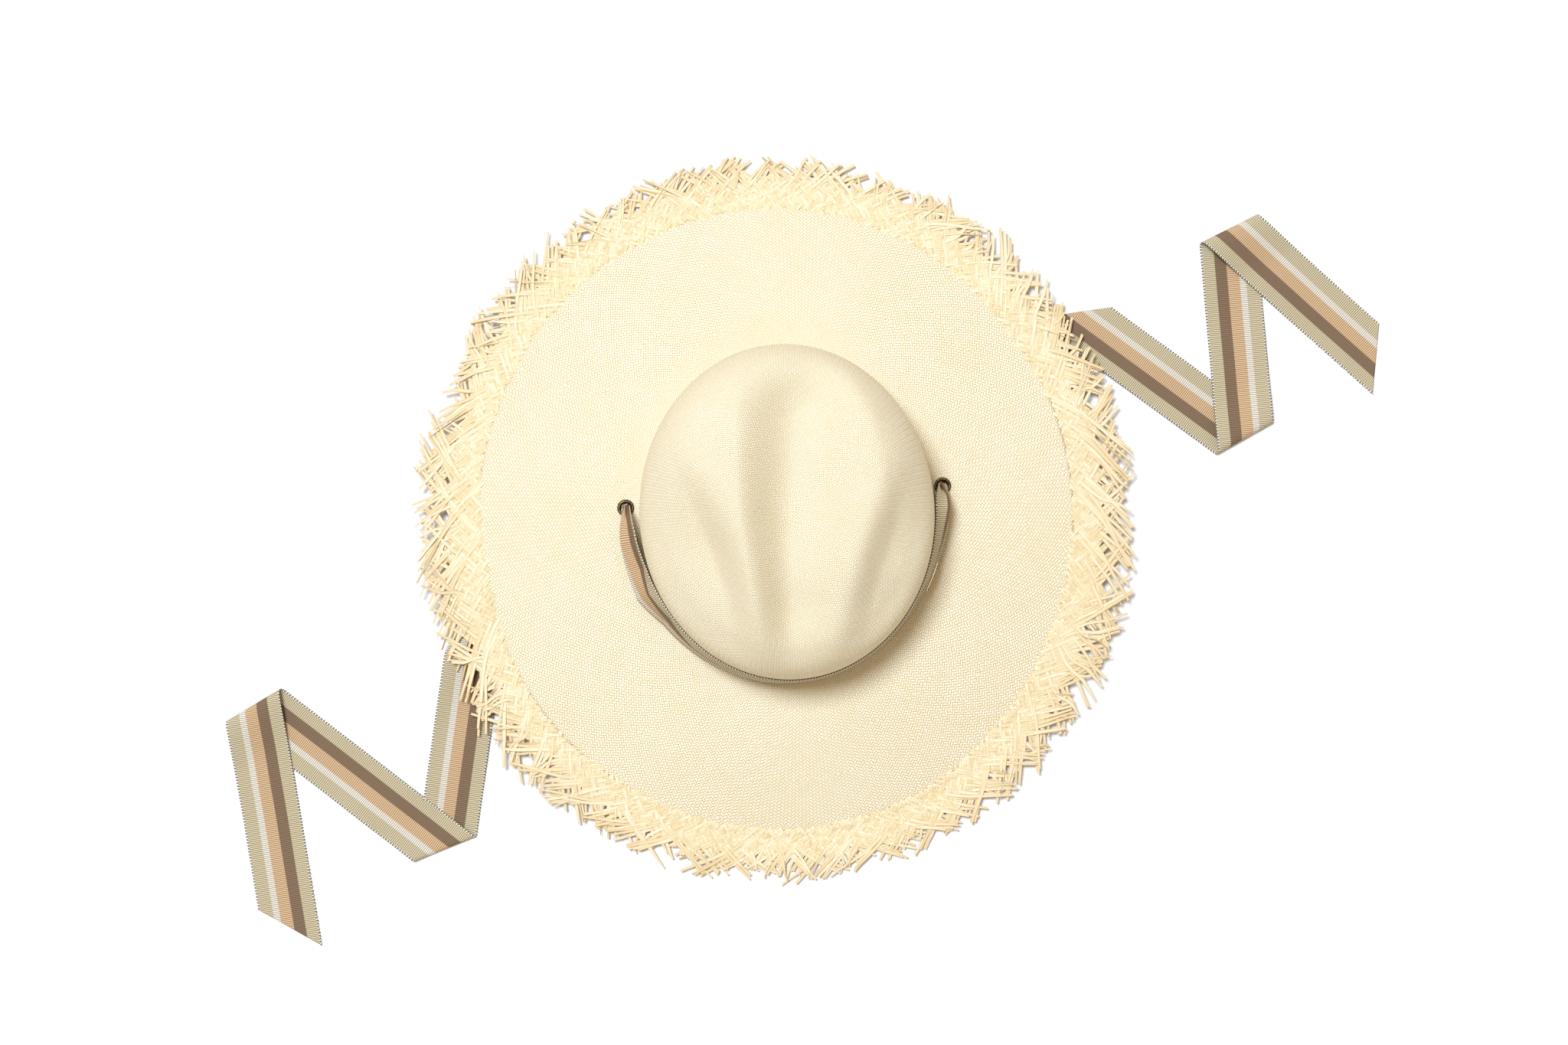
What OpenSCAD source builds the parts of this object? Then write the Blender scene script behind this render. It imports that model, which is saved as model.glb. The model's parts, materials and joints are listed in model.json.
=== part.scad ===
// Wide-brimmed woven straw sun hat with a teardrop crown, a frayed brim and a ribbon.
// The ribbon runs round the front of the crown, down through two eyelets beside the
// crown, under the brim and out across the table as two long folded ties.
// Front of the hat is -Y, its sides are -X and +X, up is +Z.
// The origin is the centre of the head opening, on the line where crown meets brim.

/* [Crown] */
// Outside width of the crown at the head line
crown_wid = 176; // [150:1:210]
// Outside length of the crown at the head line
crown_len = 202; // [170:1:240]
// Height of the crown before its top is creased
crown_h = 108; // [85:1:135]
// Thickness of the woven straw
straw_t = 1.5; // [1:0.1:2.5]
// Depth of the teardrop hollow in the top
hollow_deep = 24; // [5:1:28]
// Depth of the crease that is pressed in the left front of the crown
dent_left = 25; // [0:1:28]
// Depth of the crease that is pressed in the right front of the crown
dent_right = 22; // [0:1:28]
// How much lower the crown is in front than behind
front_drop = 4; // [0:1:10]
// How far the front of the crown leans back, as a share of its length
front_lean = 0.05; // [0:0.01:0.12]

/* [Brim] */
// Width of the woven brim, side to side
brim_wid = 368; // [330:1:460]
// Length of the woven brim, front to back
brim_len = 388; // [350:1:480]
// Brim's centre to the left of the crown's centre
brim_shift_x = 7; // [0:1:10]
// Brim's centre in front of the crown's centre
brim_shift_y = 3; // [0:1:10]
// Drop from the head line to the table, at front and back
rim_drop = 18; // [12:1:30]
// How much higher the brim's edge rides at its two sides
side_lift = 8; // [5:1:10]

/* [Fringe] */
// Length of the frayed straws at the two sides
fringe_side = 31; // [15:1:45]
// Length of the frayed straws at front and back
fringe_end = 22; // [10:1:40]
// Width of the twined row that stops the weave
edge_row_w = 3; // [2:0.5:5]

/* [Sweatband] */
// Height of the inside band
sweat_h = 32; // [20:1:45]
// Thickness of the inside band
sweat_t = 1.2; // [0.8:0.1:2]

/* [Ribbon] */
// Width of the grosgrain ribbon
ribbon_w = 35; // [25:1:40]
// Thickness of the ribbon
ribbon_t = 0.6; // [0.4:0.1:0.8]
// Space between two layers of ribbon, and between ribbon and crown
ribbon_gap = 0.4; // [0.3:0.1:0.6]
// Radius of the ribbon where it is bunched through an eyelet
throat_r = 2.6; // [2:0.1:3]

/* [Eyelets] */
// Radius of the hole through an eyelet
eyelet_bore_r = 3.1; // [3.1:0.1:4]
// Radius of the eyelet's rolled flange
eyelet_r = 5.2; // [5:0.1:6.5]
// Height of the flange above the brim
eyelet_h = 1.3; // [0.8:0.1:2]
// Crown wall to the centre of the left eyelet
eyelet_left_gap = 9; // [7:0.5:12]
// Crown wall to the centre of the right eyelet
eyelet_right_gap = 7; // [7:0.5:12]
// How far both eyelets sit behind the crown's centre
eyelet_back = 10; // [0:1:20]

/* [Metal bar] */
// Length of the slim metal bar on the ribbon
bar_len = 18; // [12:1:24]
// Height of the metal bar
bar_h = 6; // [4:0.5:9]
// Thickness of the metal bar
bar_t = 0.8; // [0.6:0.1:1.2]

/* [Hidden] */
$fn = 64;

straw_colour = "#F4E3B5";
sage = "#B9B28F";
bronze = "#5A4A35";
pale_gold = "#D8C08A";

around = 72;          // columns round the crown, the brim and the sweatband
crown_rows = 26;      // rows from the head line to the tip
brim_rows = 8;        // rings across the brim
flat_part = 0.25;     // share of the brim's width that stays flat, round the eyelets
boxiness = 0.56;      // power of the crown's profile: smaller is squarer
eyelet_wall = 0.5;    // wall of an eyelet's barrel
washer_t = 0.5;       // thickness of the washer under the brim
fit = 0.05;           // clearance of what passes through what
air = 0.3;            // space between pieces that move apart
teeth = 144;          // notches in the fringe's outline
tooth = 5;            // depth of a notch
fringe_t = 1;         // thickness of the frayed straws together
stitch_len = 4;       // length of a stitch in the sweatband
stand_front = 1.5;    // how far the band's lower edge stands off the crown in front
stand_left = 15;      // the same beside the left eyelet
stand_right = 9;      // the same beside the right eyelet
bar_from = -20;       // direction of the bar's rear end, seen from the crown's centre
rivet_r = 0.5;        // radius of a rivet's shank
rivet_head_r = 1;     // radius of a rivet's head
fan_len = 60;         // length over which a bunched tie spreads to its full width

table_z = -rim_drop;
layer = ribbon_t + ribbon_gap;
crown_a = crown_wid / 2;
crown_b = crown_len / 2;
eyelet_left = [-crown_a - eyelet_left_gap, eyelet_back];
eyelet_right = [crown_a + eyelet_right_gap, eyelet_back];

// Where each tie is folded, and its end, on the table: chosen by hand.
left_folds = [[-189, -36], [-222, -190], [-333, -92], [-320, -231]];
right_folds = [[181, 110], [282, 25], [280, 156], [365, 69]];
left_end_cut = [41, -27];
right_end_cut = [7, 43];

// ---------- shared shapes ----------
function unit(v) = v / norm(v);
function mix(a, b, f) = a + (b - a) * f;
function smooth(x) = let (c = max(0, min(1, x))) c * c * (3 - 2 * c);
function bell(x, width) = exp(-pow(x / width, 2));
function oval(a, b, t) = [a * cos(t), b * sin(t)];
function oval_out(a, b, t) = unit([b * cos(t), a * sin(t)]);
function oval_ring(a, b) = [for (i = [0 : around - 1]) oval(a, b, 360 * i / around)];

// Faces of a closed tube of rings: every ring has n points, and the last ring
// joins the first when the tube is a loop.
function tube_faces(rings, n, loop) = [
    for (i = [0 : loop ? rings - 1 : rings - 2]) for (j = [0 : n - 1])
        let (p = (i + 1) % rings, q = (j + 1) % n)
        each [[i * n + j, i * n + q, p * n + q], [i * n + j, p * n + q, p * n + j]]];

module ring_loop(rings) {
    polyhedron([for (r = rings) each r], tube_faces(len(rings), len(rings[0]), true));
}

module ring_strip(rings) {
    n = len(rings[0]);
    last = (len(rings) - 1) * n;
    polyhedron([for (r = rings) each r], concat(
        tube_faces(len(rings), n, false),
        [[for (j = [n - 1 : -1 : 0]) j]],
        [[for (j = [0 : n - 1]) last + j]]));
}

// ---------- crown ----------
// Depth of the teardrop hollow: round behind, narrower in front, and with its valley
// close to the left ridge, so that its left wall is the steeper one.
function hollow(x, y) =
    let (f = y / crown_b,
         valley = crown_a * (0.035 + 0.114 * f + 0.077 * f * f),
         back = sqrt(max(0.03, 1 - pow(max(0, min(1, (f - 0.67) / 0.31)), 2))),
         left = crown_a * (0.35 + 0.126 * f),
         right = crown_a * (0.64 - 0.065 * f - 0.387 * f * f),
         u = (x - valley) / (back * (x < valley ? left : right)))
    abs(u) >= 1 ? 0
        : hollow_deep * pow(cos(90 * u), 1.58) * smooth((0.98 - f) / 0.43) * smooth((f + 1.05) / 0.55);

// A crease that the blocker's fingers press beside a ridge, 1 at its deepest. The line of
// its floor is a curve across the crown, steep towards the ridge and wide away from it.
// ends holds where it stops behind and in front, each with the length of its run-out.
function crease(x, y, line, wide, steep, ends) =
    let (f = y / crown_b,
         off = (x / crown_a - (line[0] + line[1] * f + line[2] * f * f)) * sign(line[0]))
    bell(off, off > 0 ? wide : steep) * smooth((ends[0] - f) / ends[1]) * smooth((f + ends[2]) / ends[3]);

function pressed(x, y) =
    dent_left * crease(x, y, [-0.605, -0.404, -0.201], 0.545, 0.157, [0.54, 0.80, 1.20, 0.89])
    + dent_right * crease(x, y, [0.770, 0.458, 0.086], 0.314, 0.143, [0.41, 0.75, 1.04, 0.57]);

// A point of the crown: t goes round it, s from the head line to the tip, and inner
// is 0 on the outside and 1 on the inside of the straw.
function crown_point(t, s, inner) =
    let (c = pow(cos(90 * s), boxiness),
         w = pow(sin(90 * s), boxiness),
         lean = sin(t) < 0 ? 1 - front_lean * w : 1,
         x = (crown_a - inner * straw_t) * c * cos(t),
         y = (crown_b - inner * straw_t) * c * sin(t) * lean,
         front = front_drop * smooth((-y / crown_b - 0.3) / 0.6))
    [x, y, (crown_h - inner * straw_t) * w - (hollow(x, y) + pressed(x, y) + front) * smooth((w - 0.37) / 0.44)];

// Place of the crown's side at the height z, moved out by a distance: used by all that
// lies against it, below the dents.
function crown_wall(t, z, out) =
    let (w = max(0, z) / crown_h,
         c = pow(1 - pow(w, 2 / boxiness), boxiness / 2),
         lean = sin(t) < 0 ? 1 - front_lean * w : 1)
    [(crown_a + out) * c * cos(t), (crown_b + out) * c * sin(t) * lean];

function crown_ring(s, inner) = [for (i = [0 : around - 1]) crown_point(360 * i / around, s, inner)];

module crown() {
    steps = [for (i = [0 : crown_rows - 1]) 1 - pow(1 - i / crown_rows, 1.9)];
    outside = [for (i = [crown_rows - 1 : -1 : 0]) crown_ring(steps[i], 0)];
    inside = [for (s = steps) crown_ring(s, 1)];
    rings = concat(outside, inside);
    total = len(rings) * around;
    last = total - around;
    color(straw_colour)
    polyhedron(
        concat([for (r = rings) each r], [crown_point(0, 1, 0), crown_point(0, 1, 1)]),
        concat(tube_faces(len(rings), around, false),
            [for (j = [0 : around - 1]) [total, (j + 1) % around, j]],
            [for (j = [0 : around - 1]) [total + 1, last + j, last + (j + 1) % around]]));
}

// ---------- brim ----------
// Drop of the brim's top at a share f of its width, in the direction t.
function edge_drop(t) = rim_drop - straw_t - fringe_t / 2 - side_lift * pow(cos(t), 2);
function brim_drop(t, f) = edge_drop(t) * pow(max(0, (f - flat_part) / (1 - flat_part)), 1.35);

// A point on the brim's top: f runs from 0 at the head opening to 1 at the last row.
function rim_at(t, out) = oval(brim_wid / 2 + out, brim_len / 2 + out, t) - [brim_shift_x, brim_shift_y];
function brim_plan(t, f) = mix(oval(crown_a - straw_t, crown_b - straw_t, t), rim_at(t, -edge_row_w), f);
function brim_point(t, f, down) = let (p = brim_plan(t, f)) [p[0], p[1], -brim_drop(t, f) - down];

module eyelet_hole(place) {
    translate([place[0], place[1], -straw_t - 1])
    cylinder(r = eyelet_bore_r + eyelet_wall + fit, h = straw_t + 2);
}

module brim() {
    color(straw_colour)
    difference() {
        ring_loop([for (i = [0 : around - 1]) let (t = 360 * i / around) concat(
            [for (k = [0 : brim_rows]) brim_point(t, k / brim_rows, straw_t)],
            [for (k = [brim_rows : -1 : 0]) brim_point(t, k / brim_rows, 0)])]);
        eyelet_hole(eyelet_left);
        eyelet_hole(eyelet_right);
    }
}

// The twined row: a flat oval cord that closes the weave all round.
module edge_row() {
    half = edge_row_w / 2;
    color("#E9D3A0")
    ring_loop([for (i = [0 : around - 1])
        let (t = 360 * i / around,
             p = rim_at(t, -half),
             n = oval_out(brim_wid, brim_len, t),
             z = -edge_drop(t) - straw_t / 2,
             r = half - fit)
        [for (q = [[-r, -0.5], [0, -1], [r, -0.5], [r, 0.5], [0, 1], [-r, 0.5]])
            [p[0] + n[0] * q[0], p[1] + n[1] * q[0], z + q[1] * straw_t * 0.6]]]);
}

// ---------- fringe ----------
function fringe_len(t) = mix(fringe_end, fringe_side, pow(cos(t), 2));

module fringe() {
    step = 360 / teeth;
    color("#F0DDAA")
    ring_loop([for (i = [0 : teeth - 1])
        let (t = i * step,
             n = oval_out(brim_wid, brim_len, t),
             p = rim_at(t, fit),
             far = fringe_len(t) - (i % 2) * tooth,
             q = rim_at(t, 0) + n * far,
             z = -edge_drop(t) - straw_t / 2,
             tip = max(z - straw_t / 2, table_z + fringe_t / 2))
        [[p[0], p[1], z - fringe_t / 2], [q[0], q[1], tip - fringe_t / 2],
         [q[0], q[1], tip + fringe_t / 2], [p[0], p[1], z + fringe_t / 2]]]);
}

// ---------- sweatband ----------
sweat_levels = [-straw_t, 0, sweat_h / 2, sweat_h - straw_t];

// A point of the band: deep is 0 at the straw and 1 at the head.
function sweat_point(t, z, deep) =
    let (p = crown_wall(t, z, -straw_t - air - deep * sweat_t)) [p[0], p[1], z];

module sweatband() {
    color("#EFE6D2")
    ring_loop([for (i = [0 : around - 1]) let (t = 360 * i / around) concat(
        [for (k = [0 : 3]) sweat_point(t, sweat_levels[k], 0)],
        [for (k = [3 : -1 : 0]) sweat_point(t, sweat_levels[k], 1)])]);
}

module sweatband_stitches() {
    z = 2;
    color("white")
    for (i = [0 : around - 1]) {
        p = sweat_point(360 * i / around, z, 1);
        q = sweat_point(360 * (i + 1) / around, z, 1);
        run = unit(q - p);
        middle = (p + q) / 2;
        translate([middle[0], middle[1], z])
        rotate([0, 0, atan2(run[1], run[0])])
        translate([-stitch_len / 2, fit, 0])
        cube([stitch_len, 0.4, 0.6]);
    }
}

// ---------- eyelets ----------
module eyelet(place) {
    barrel_r = eyelet_bore_r + eyelet_wall;
    translate([place[0], place[1], 0])
    rotate_extrude()
    polygon(concat(
        [[eyelet_bore_r, -straw_t - washer_t - 0.4], [barrel_r, -straw_t - washer_t - 0.4],
         [barrel_r, 0], [eyelet_r, 0]],
        [for (a = [15 : 15 : 165])
            [mix(eyelet_bore_r, eyelet_r, 0.5 + 0.5 * cos(a)), eyelet_h * sin(a)]],
        [[eyelet_bore_r, 0]]));
}

module eyelet_washer(place) {
    translate([place[0], place[1], -straw_t - washer_t])
    difference() {
        cylinder(r = eyelet_r - 0.3, h = washer_t);
        translate([0, 0, -1]) cylinder(r = eyelet_bore_r + eyelet_wall + fit, h = washer_t + 2);
    }
}

module eyelet_left() { color(bronze) eyelet(eyelet_left); }
module eyelet_left_washer() { color(bronze) eyelet_washer(eyelet_left); }
module eyelet_right() { color(bronze) eyelet(eyelet_right); }
module eyelet_right_washer() { color(bronze) eyelet_washer(eyelet_right); }

// ---------- ribbon on the crown ----------
band_low = 1.5;
band_high = band_low + ribbon_w;

// Direction of the band's end over an eyelet, and how near to it the direction t is:
// 1 there, and 0 from the given angle on.
function band_end(place) = place[0] < 0 ? 180 - atan2(place[1], -place[0] * crown_b / crown_a)
                                        : 360 + atan2(place[1], place[0] * crown_b / crown_a);
function nearing(t, place, angle) = smooth(1 - abs(t - band_end(place)) / angle);

// How far the band's lower edge stands off the crown: it swings out towards an eyelet.
function stand_off(t, place) = place[0] < 0
    ? mix(stand_front, stand_left, nearing(t, place, 95))
    : mix(stand_front, stand_right, nearing(t, place, 60));

// A point of the band's inner face, share being 0 at its lower edge and 1 at its upper
// edge. At its end it comes down flat over the eyelet's hole.
function band_point(t, place, share) =
    let (n = oval_out(crown_a, crown_b, t),
         off = stand_off(t, place),
         z = band_high - sqrt(pow(ribbon_w, 2) - pow(off, 2)) * (1 - share),
         wall = crown_wall(t, z, 0) + n * (ribbon_gap + off * (1 - share)),
         down = nearing(t, place, 16),
         p = mix(wall, place + n * mix(2, -1.2, share), down))
    [p[0], p[1], mix(z, eyelet_h + mix(2, 3.5, share), down)];

function band_out(t, place) =
    let (n = oval_out(crown_a, crown_b, t), down = nearing(t, place, 16), flat = mix(1, 0.4, down))
    unit([n[0] * flat, n[1] * flat, 0.9 * down]);

module ribbon_band() {
    step = 3;
    shares = [0, 0.33, 0.67, 1];
    color(sage) {
        ring_strip([for (t = [180 - 4 : step : 360 + 4])
            let (place = t < 270 ? eyelet_left : eyelet_right, out = band_out(t, place) * ribbon_t)
            concat([band_point(t, place, 0)],
                [for (f = shares) band_point(t, place, f) + out],
                [for (k = [3 : -1 : 1]) band_point(t, place, shares[k])])]);
        for (place = [eyelet_left, eyelet_right])
            translate([place[0], place[1], -straw_t / 2 + air / 2])
            cylinder(r = throat_r, h = straw_t / 2 + eyelet_h + 3);
    }
}

// ---------- metal bar ----------
bar_z = 17;
bar_span = bar_len / crown_b * 180 / PI;

// A point outside the band at the bar's foot, in the direction t.
function over_band(t, out) =
    let (p = band_point(360 + t, eyelet_right, (bar_z - band_low) / ribbon_w),
         n = oval_out(crown_a, crown_b, t))
    [p[0], p[1]] + n * (ribbon_t + out);
function bar_arc(out) = [for (k = [0 : 8]) over_band(bar_from - bar_span * k / 8, out)];

module at_rivets(out) {
    for (f = [0.1, 0.9]) {
        t = bar_from - bar_span * f;
        n = oval_out(crown_a, crown_b, t);
        p = over_band(t, out);
        translate([p[0], p[1], bar_z + bar_h / 2])
        rotate([0, 90, atan2(n[1], n[0])])
        children();
    }
}

module metal_bar() {
    inner = bar_arc(air);
    outer = bar_arc(air + bar_t);
    color(pale_gold)
    difference() {
        translate([0, 0, bar_z])
        linear_extrude(bar_h)
        polygon(concat(inner, [for (k = [8 : -1 : 0]) outer[k]]));
        at_rivets(-1) cylinder(r = rivet_r + fit, h = bar_t + 3);
    }
}

module bar_rivets() {
    color(bronze)
    at_rivets(air) {
        cylinder(r = rivet_r, h = bar_t + 0.5);
        translate([0, 0, bar_t + fit]) cylinder(r = rivet_head_r, h = 0.5);
    }
}

// ---------- ribbon ties ----------
function side_of(v) = [-v[1], v[0]];
function edge_point(p, cut, run, h) = p + cut * (h / (cut * side_of(run)));

// A section of a tie from edge a to edge b: up is the way its upper face looks.
function flat_section(a, b, z, up) = [
    for (q = [[a, -1], [b, -1], [b, 1], [a, 1]])
        [q[0][0], q[0][1], z] + up * (q[1] * ribbon_t / 2)];

// The first stretch: bunched under the eyelet, spreading and sinking to the table.
function fan_sections(from, run) =
    let (side = side_of(run), top = -straw_t - washer_t - 0.4)
    [for (k = [0 : 8])
        let (f = k / 8,
             p = from + run * (fan_len * f),
             half = mix(throat_r * 0.9, ribbon_w / 2, smooth(f)),
             thick = mix(2 * throat_r, ribbon_t, smooth(f * 1.6)),
             low = mix(top - 2 * throat_r, table_z, smooth(f)))
        [for (q = [[half, 0], [-half, 0], [-half, thick], [half, thick]])
            [p[0] + side[0] * q[0], p[1] + side[1] * q[0], low + q[1]]]];

// Where the ribbon turns over at fold i and lies back on itself, one layer higher.
// Each fold turns its faces over, so flip is 1 before one fold and -1 before the next.
function fold_sections(at, cut, run, i) =
    let (flip = i % 2 == 1 ? 1 : -1,
         a = edge_point(at, cut, run, flip * ribbon_w / 2),
         b = edge_point(at, cut, run, -flip * ribbon_w / 2),
         out = unit(run - cut * (run * cut)))
    [for (turn = [0 : 45 : 180])
        let (push = out * (layer / 2 * sin(turn)),
             z = table_z + ribbon_t / 2 + layer * (i - 0.5 - 0.5 * cos(turn)))
        flat_section(a + push, b + push, z,
            [-out[0] * sin(turn), -out[1] * sin(turn), cos(turn)] * flip)];

function end_section(at, cut, run, i) =
    let (flip = i % 2 == 1 ? 1 : -1)
    flat_section(edge_point(at, cut, run, flip * ribbon_w / 2),
        edge_point(at, cut, run, -flip * ribbon_w / 2),
        table_z + ribbon_t / 2 + layer * (i - 1), [0, 0, flip]);

module ribbon_tie(place, folds, end_cut) {
    stops = concat([place], folds);
    legs = len(folds);
    runs = [for (i = [0 : legs - 1]) unit(stops[i + 1] - stops[i])];
    color(sage) {
        translate([place[0], place[1], -straw_t - washer_t - 2 * throat_r - 0.8])
        cylinder(r = throat_r, h = straw_t / 2 + washer_t + 2 * throat_r + 0.8 - air / 2);
        ring_strip(concat(
            fan_sections(place, runs[0]),
            [for (i = [1 : legs - 1])
                each fold_sections(stops[i], unit(runs[i - 1] + runs[i]), runs[i - 1], i)],
            [end_section(stops[legs], unit(end_cut), runs[legs - 1], legs)]));
    }
}

module ribbon_tie_left() { ribbon_tie(eyelet_left, left_folds, left_end_cut); }
module ribbon_tie_right() { ribbon_tie(eyelet_right, right_folds, right_end_cut); }

crown();
brim();
edge_row();
fringe();
sweatband();
sweatband_stitches();
eyelet_left();
eyelet_left_washer();
eyelet_right();
eyelet_right_washer();
ribbon_band();
metal_bar();
bar_rivets();
ribbon_tie_left();
ribbon_tie_right();
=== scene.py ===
# %% [markdown]
# # A woven straw sun hat with a striped ribbon
# The hat is toquilla straw, woven by hand from the tip of the crown outwards, then
# pressed over a block while damp. Its brim isn't hemmed: the straws run out of the weave
# and are left as a fringe. A grosgrain ribbon goes round the front of the crown, down
# through two brass eyelets, under the brim, and out on the table as two folded ties.
# Every piece below is made in metres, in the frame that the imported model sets:
# +Z is up, the front of the hat is -Y, and the origin is the middle of the head opening.

# %% Load the frame
import json
import math
import bpy
import bmesh
import numpy as np
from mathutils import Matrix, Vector

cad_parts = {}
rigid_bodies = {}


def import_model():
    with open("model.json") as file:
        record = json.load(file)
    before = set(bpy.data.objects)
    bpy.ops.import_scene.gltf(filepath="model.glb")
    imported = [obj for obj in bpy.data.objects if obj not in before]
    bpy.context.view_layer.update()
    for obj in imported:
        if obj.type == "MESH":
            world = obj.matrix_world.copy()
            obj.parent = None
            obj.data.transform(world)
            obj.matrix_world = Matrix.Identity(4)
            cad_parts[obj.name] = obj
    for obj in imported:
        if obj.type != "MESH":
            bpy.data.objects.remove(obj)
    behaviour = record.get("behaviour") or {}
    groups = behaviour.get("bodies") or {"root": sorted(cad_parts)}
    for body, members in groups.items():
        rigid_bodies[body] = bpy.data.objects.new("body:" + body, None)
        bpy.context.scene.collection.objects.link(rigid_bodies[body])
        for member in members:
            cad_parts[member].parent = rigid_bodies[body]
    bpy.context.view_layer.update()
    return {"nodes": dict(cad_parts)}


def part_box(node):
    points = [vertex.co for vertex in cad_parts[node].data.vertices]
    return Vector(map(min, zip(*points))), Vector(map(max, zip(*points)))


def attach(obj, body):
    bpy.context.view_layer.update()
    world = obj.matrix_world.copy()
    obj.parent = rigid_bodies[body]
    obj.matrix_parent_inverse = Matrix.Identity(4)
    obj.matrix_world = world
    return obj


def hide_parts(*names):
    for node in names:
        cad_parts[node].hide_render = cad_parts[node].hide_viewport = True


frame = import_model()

MM = 0.001
rng = np.random.default_rng(7)
print("nodes:", sorted(frame["nodes"]))

# %% [markdown]
# ## Camera and light
# The hat lies on a white table and is seen from straight above, a long way off, so the
# camera has a long lens and looks down the Z axis. It is rolled a few degrees because
# the hat lies a little askew on the table. One wide, cool lamp hangs almost overhead, a
# little behind and to the left, and gives the soft shadow inside the creases. A warm,
# even sky fills in all the rest.

# %% Camera
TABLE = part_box("ribbon_tie_left")[0].z
CAMERA_HEIGHT, VIEW_WIDTH, SENSOR = 1.9, 0.957, 36     # metres, metres, and mm on the film
scene = bpy.context.scene
scene.view_settings.view_transform = "Standard"
scene.view_settings.look = "None"

camera = bpy.data.objects.new("camera", bpy.data.cameras.new("camera"))
scene.collection.objects.link(camera)
camera.location = (-0.0022, -0.0054, TABLE + CAMERA_HEIGHT)
camera.rotation_euler = (0, 0, math.radians(-4.0))
camera.data.sensor_width = SENSOR
camera.data.lens = SENSOR * CAMERA_HEIGHT / VIEW_WIDTH
camera.data.clip_end = 50
scene.camera = camera
print("camera lens", round(camera.data.lens, 1), "mm")

# %% Light
def aim(lamp, place, target=(0, 0, 0)):
    lamp.location = place
    lamp.rotation_euler = (Vector(target) - Vector(place)).to_track_quat("-Z", "Y").to_euler()

key = bpy.data.objects.new("key_lamp", bpy.data.lights.new("key_lamp", "AREA"))
scene.collection.objects.link(key)
key.data.shape = "DISK"
key.data.size = 1.7
key.data.energy = 372
key.data.color = (0.75, 0.87, 1.0)
aim(key, (-1.15, 1.62, 5.64))

world = bpy.data.worlds.new("studio")
world.use_nodes = True
scene.world = world
sky = world.node_tree.nodes["Background"].inputs
sky["Color"].default_value = (1.0, 0.86, 0.64, 1)
sky["Strength"].default_value = 0.47
print("lamp", key.data.energy, "W, sky", round(sky["Strength"].default_value, 2))

# %% [markdown]
# ## Helpers for colour and for nodes
# Colours are written as the hex values a painter would pick from a chart. Shaders work
# in linear light, so one function converts them. Another adds a node, with its settings
# and its links, which keeps each material short enough to read.

# %% Colour and node helpers
def hex_colour(code):
    parts = [int(code[i:i + 2], 16) / 255 for i in (1, 3, 5)]
    return tuple(c / 12.92 if c <= 0.04045 else ((c + 0.055) / 1.055) ** 2.4 for c in parts) + (1,)

def add_node(tree, kind, inputs=None, **settings):
    made = tree.nodes.new(kind)
    for name, value in settings.items():
        setattr(made, name, value)
    for name, value in (inputs or {}).items():
        if isinstance(value, bpy.types.NodeSocket):
            tree.links.new(value, made.inputs[name])
        else:
            made.inputs[name].default_value = value
    return made

def start_material(name, roughness, **sockets):
    material = bpy.data.materials.new(name)
    material.use_nodes = True
    tree = material.node_tree
    surface = tree.nodes["Principled BSDF"]
    surface.inputs["Roughness"].default_value = roughness
    for socket, value in sockets.items():
        surface.inputs[socket.replace("_", " ")].default_value = value
    return material, tree, surface

def maths(tree, operation, a, b=0.0, c=0.0):
    return add_node(tree, "ShaderNodeMath", {0: a, 1: b, 2: c}, operation=operation).outputs[0]

def blend_colours(tree, share, a, b):
    """Mixes two colours, each a hex code or the output of a node."""
    made = add_node(tree, "ShaderNodeMix", {"Factor": share}, data_type="RGBA")
    for socket, value in ((made.inputs[6], a), (made.inputs[7], b)):
        if isinstance(value, bpy.types.NodeSocket):
            tree.links.new(value, socket)
        else:
            socket.default_value = hex_colour(value)
    return made.outputs[2]

def uv_parts(tree, layer):
    """A node whose X and Y are the two coordinates of a UV map."""
    uv = add_node(tree, "ShaderNodeUVMap", uv_map=layer).outputs["UV"]
    return add_node(tree, "ShaderNodeSeparateXYZ", {0: uv})

def object_place(tree):
    return add_node(tree, "ShaderNodeTexCoord").outputs["Object"]

def paint(tree, surface, colour):
    tree.links.new(colour, surface.inputs["Base Color"])

def emboss(tree, surface, strength, distance, height):
    """Small relief, with its height in metres."""
    bump = add_node(tree, "ShaderNodeBump", {"Strength": strength, "Distance": distance, "Height": height})
    tree.links.new(bump.outputs[0], surface.inputs["Normal"])

print("mid grey in linear light:", [round(c, 3) for c in hex_colour("#808080")])

# %% [markdown]
# ## Helpers for meshes
# Every piece starts as one of Blender's own primitives. Its points are then moved to
# where the formulas say, which are in millimetres, and modifiers finish it.

# %% Mesh helpers
def start_piece(name, primitive, **settings):
    getattr(bpy.ops.mesh, f"primitive_{primitive}_add")(**settings)
    made = bpy.context.object
    made.name = name
    return made

def mesh_arrays(piece):
    points = np.zeros(len(piece.data.vertices) * 3)
    piece.data.vertices.foreach_get("co", points)
    return points.reshape(-1, 3), [tuple(p.vertices) for p in piece.data.polygons]

def set_points(piece, points):
    piece.data.vertices.foreach_set("co", (points * MM).ravel())
    piece.data.update()

def corner_vertices(mesh):
    """For each corner of each face, the number of its vertex."""
    corner = np.zeros(len(mesh.loops), int)
    mesh.loops.foreach_get("vertex_index", corner)
    return corner

def apply_modifier(piece, kind, **settings):
    modifier = piece.modifiers.new(kind.lower(), kind)
    for name, value in settings.items():
        setattr(modifier, name, value)
    bpy.context.view_layer.objects.active = piece
    bpy.ops.object.modifier_apply(modifier=modifier.name)

print("one unit in the formulas is", MM, "m")

# %% [markdown]
# ## The table
# A plain white board, far wider than the view, so that no edge of it shows.

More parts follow.
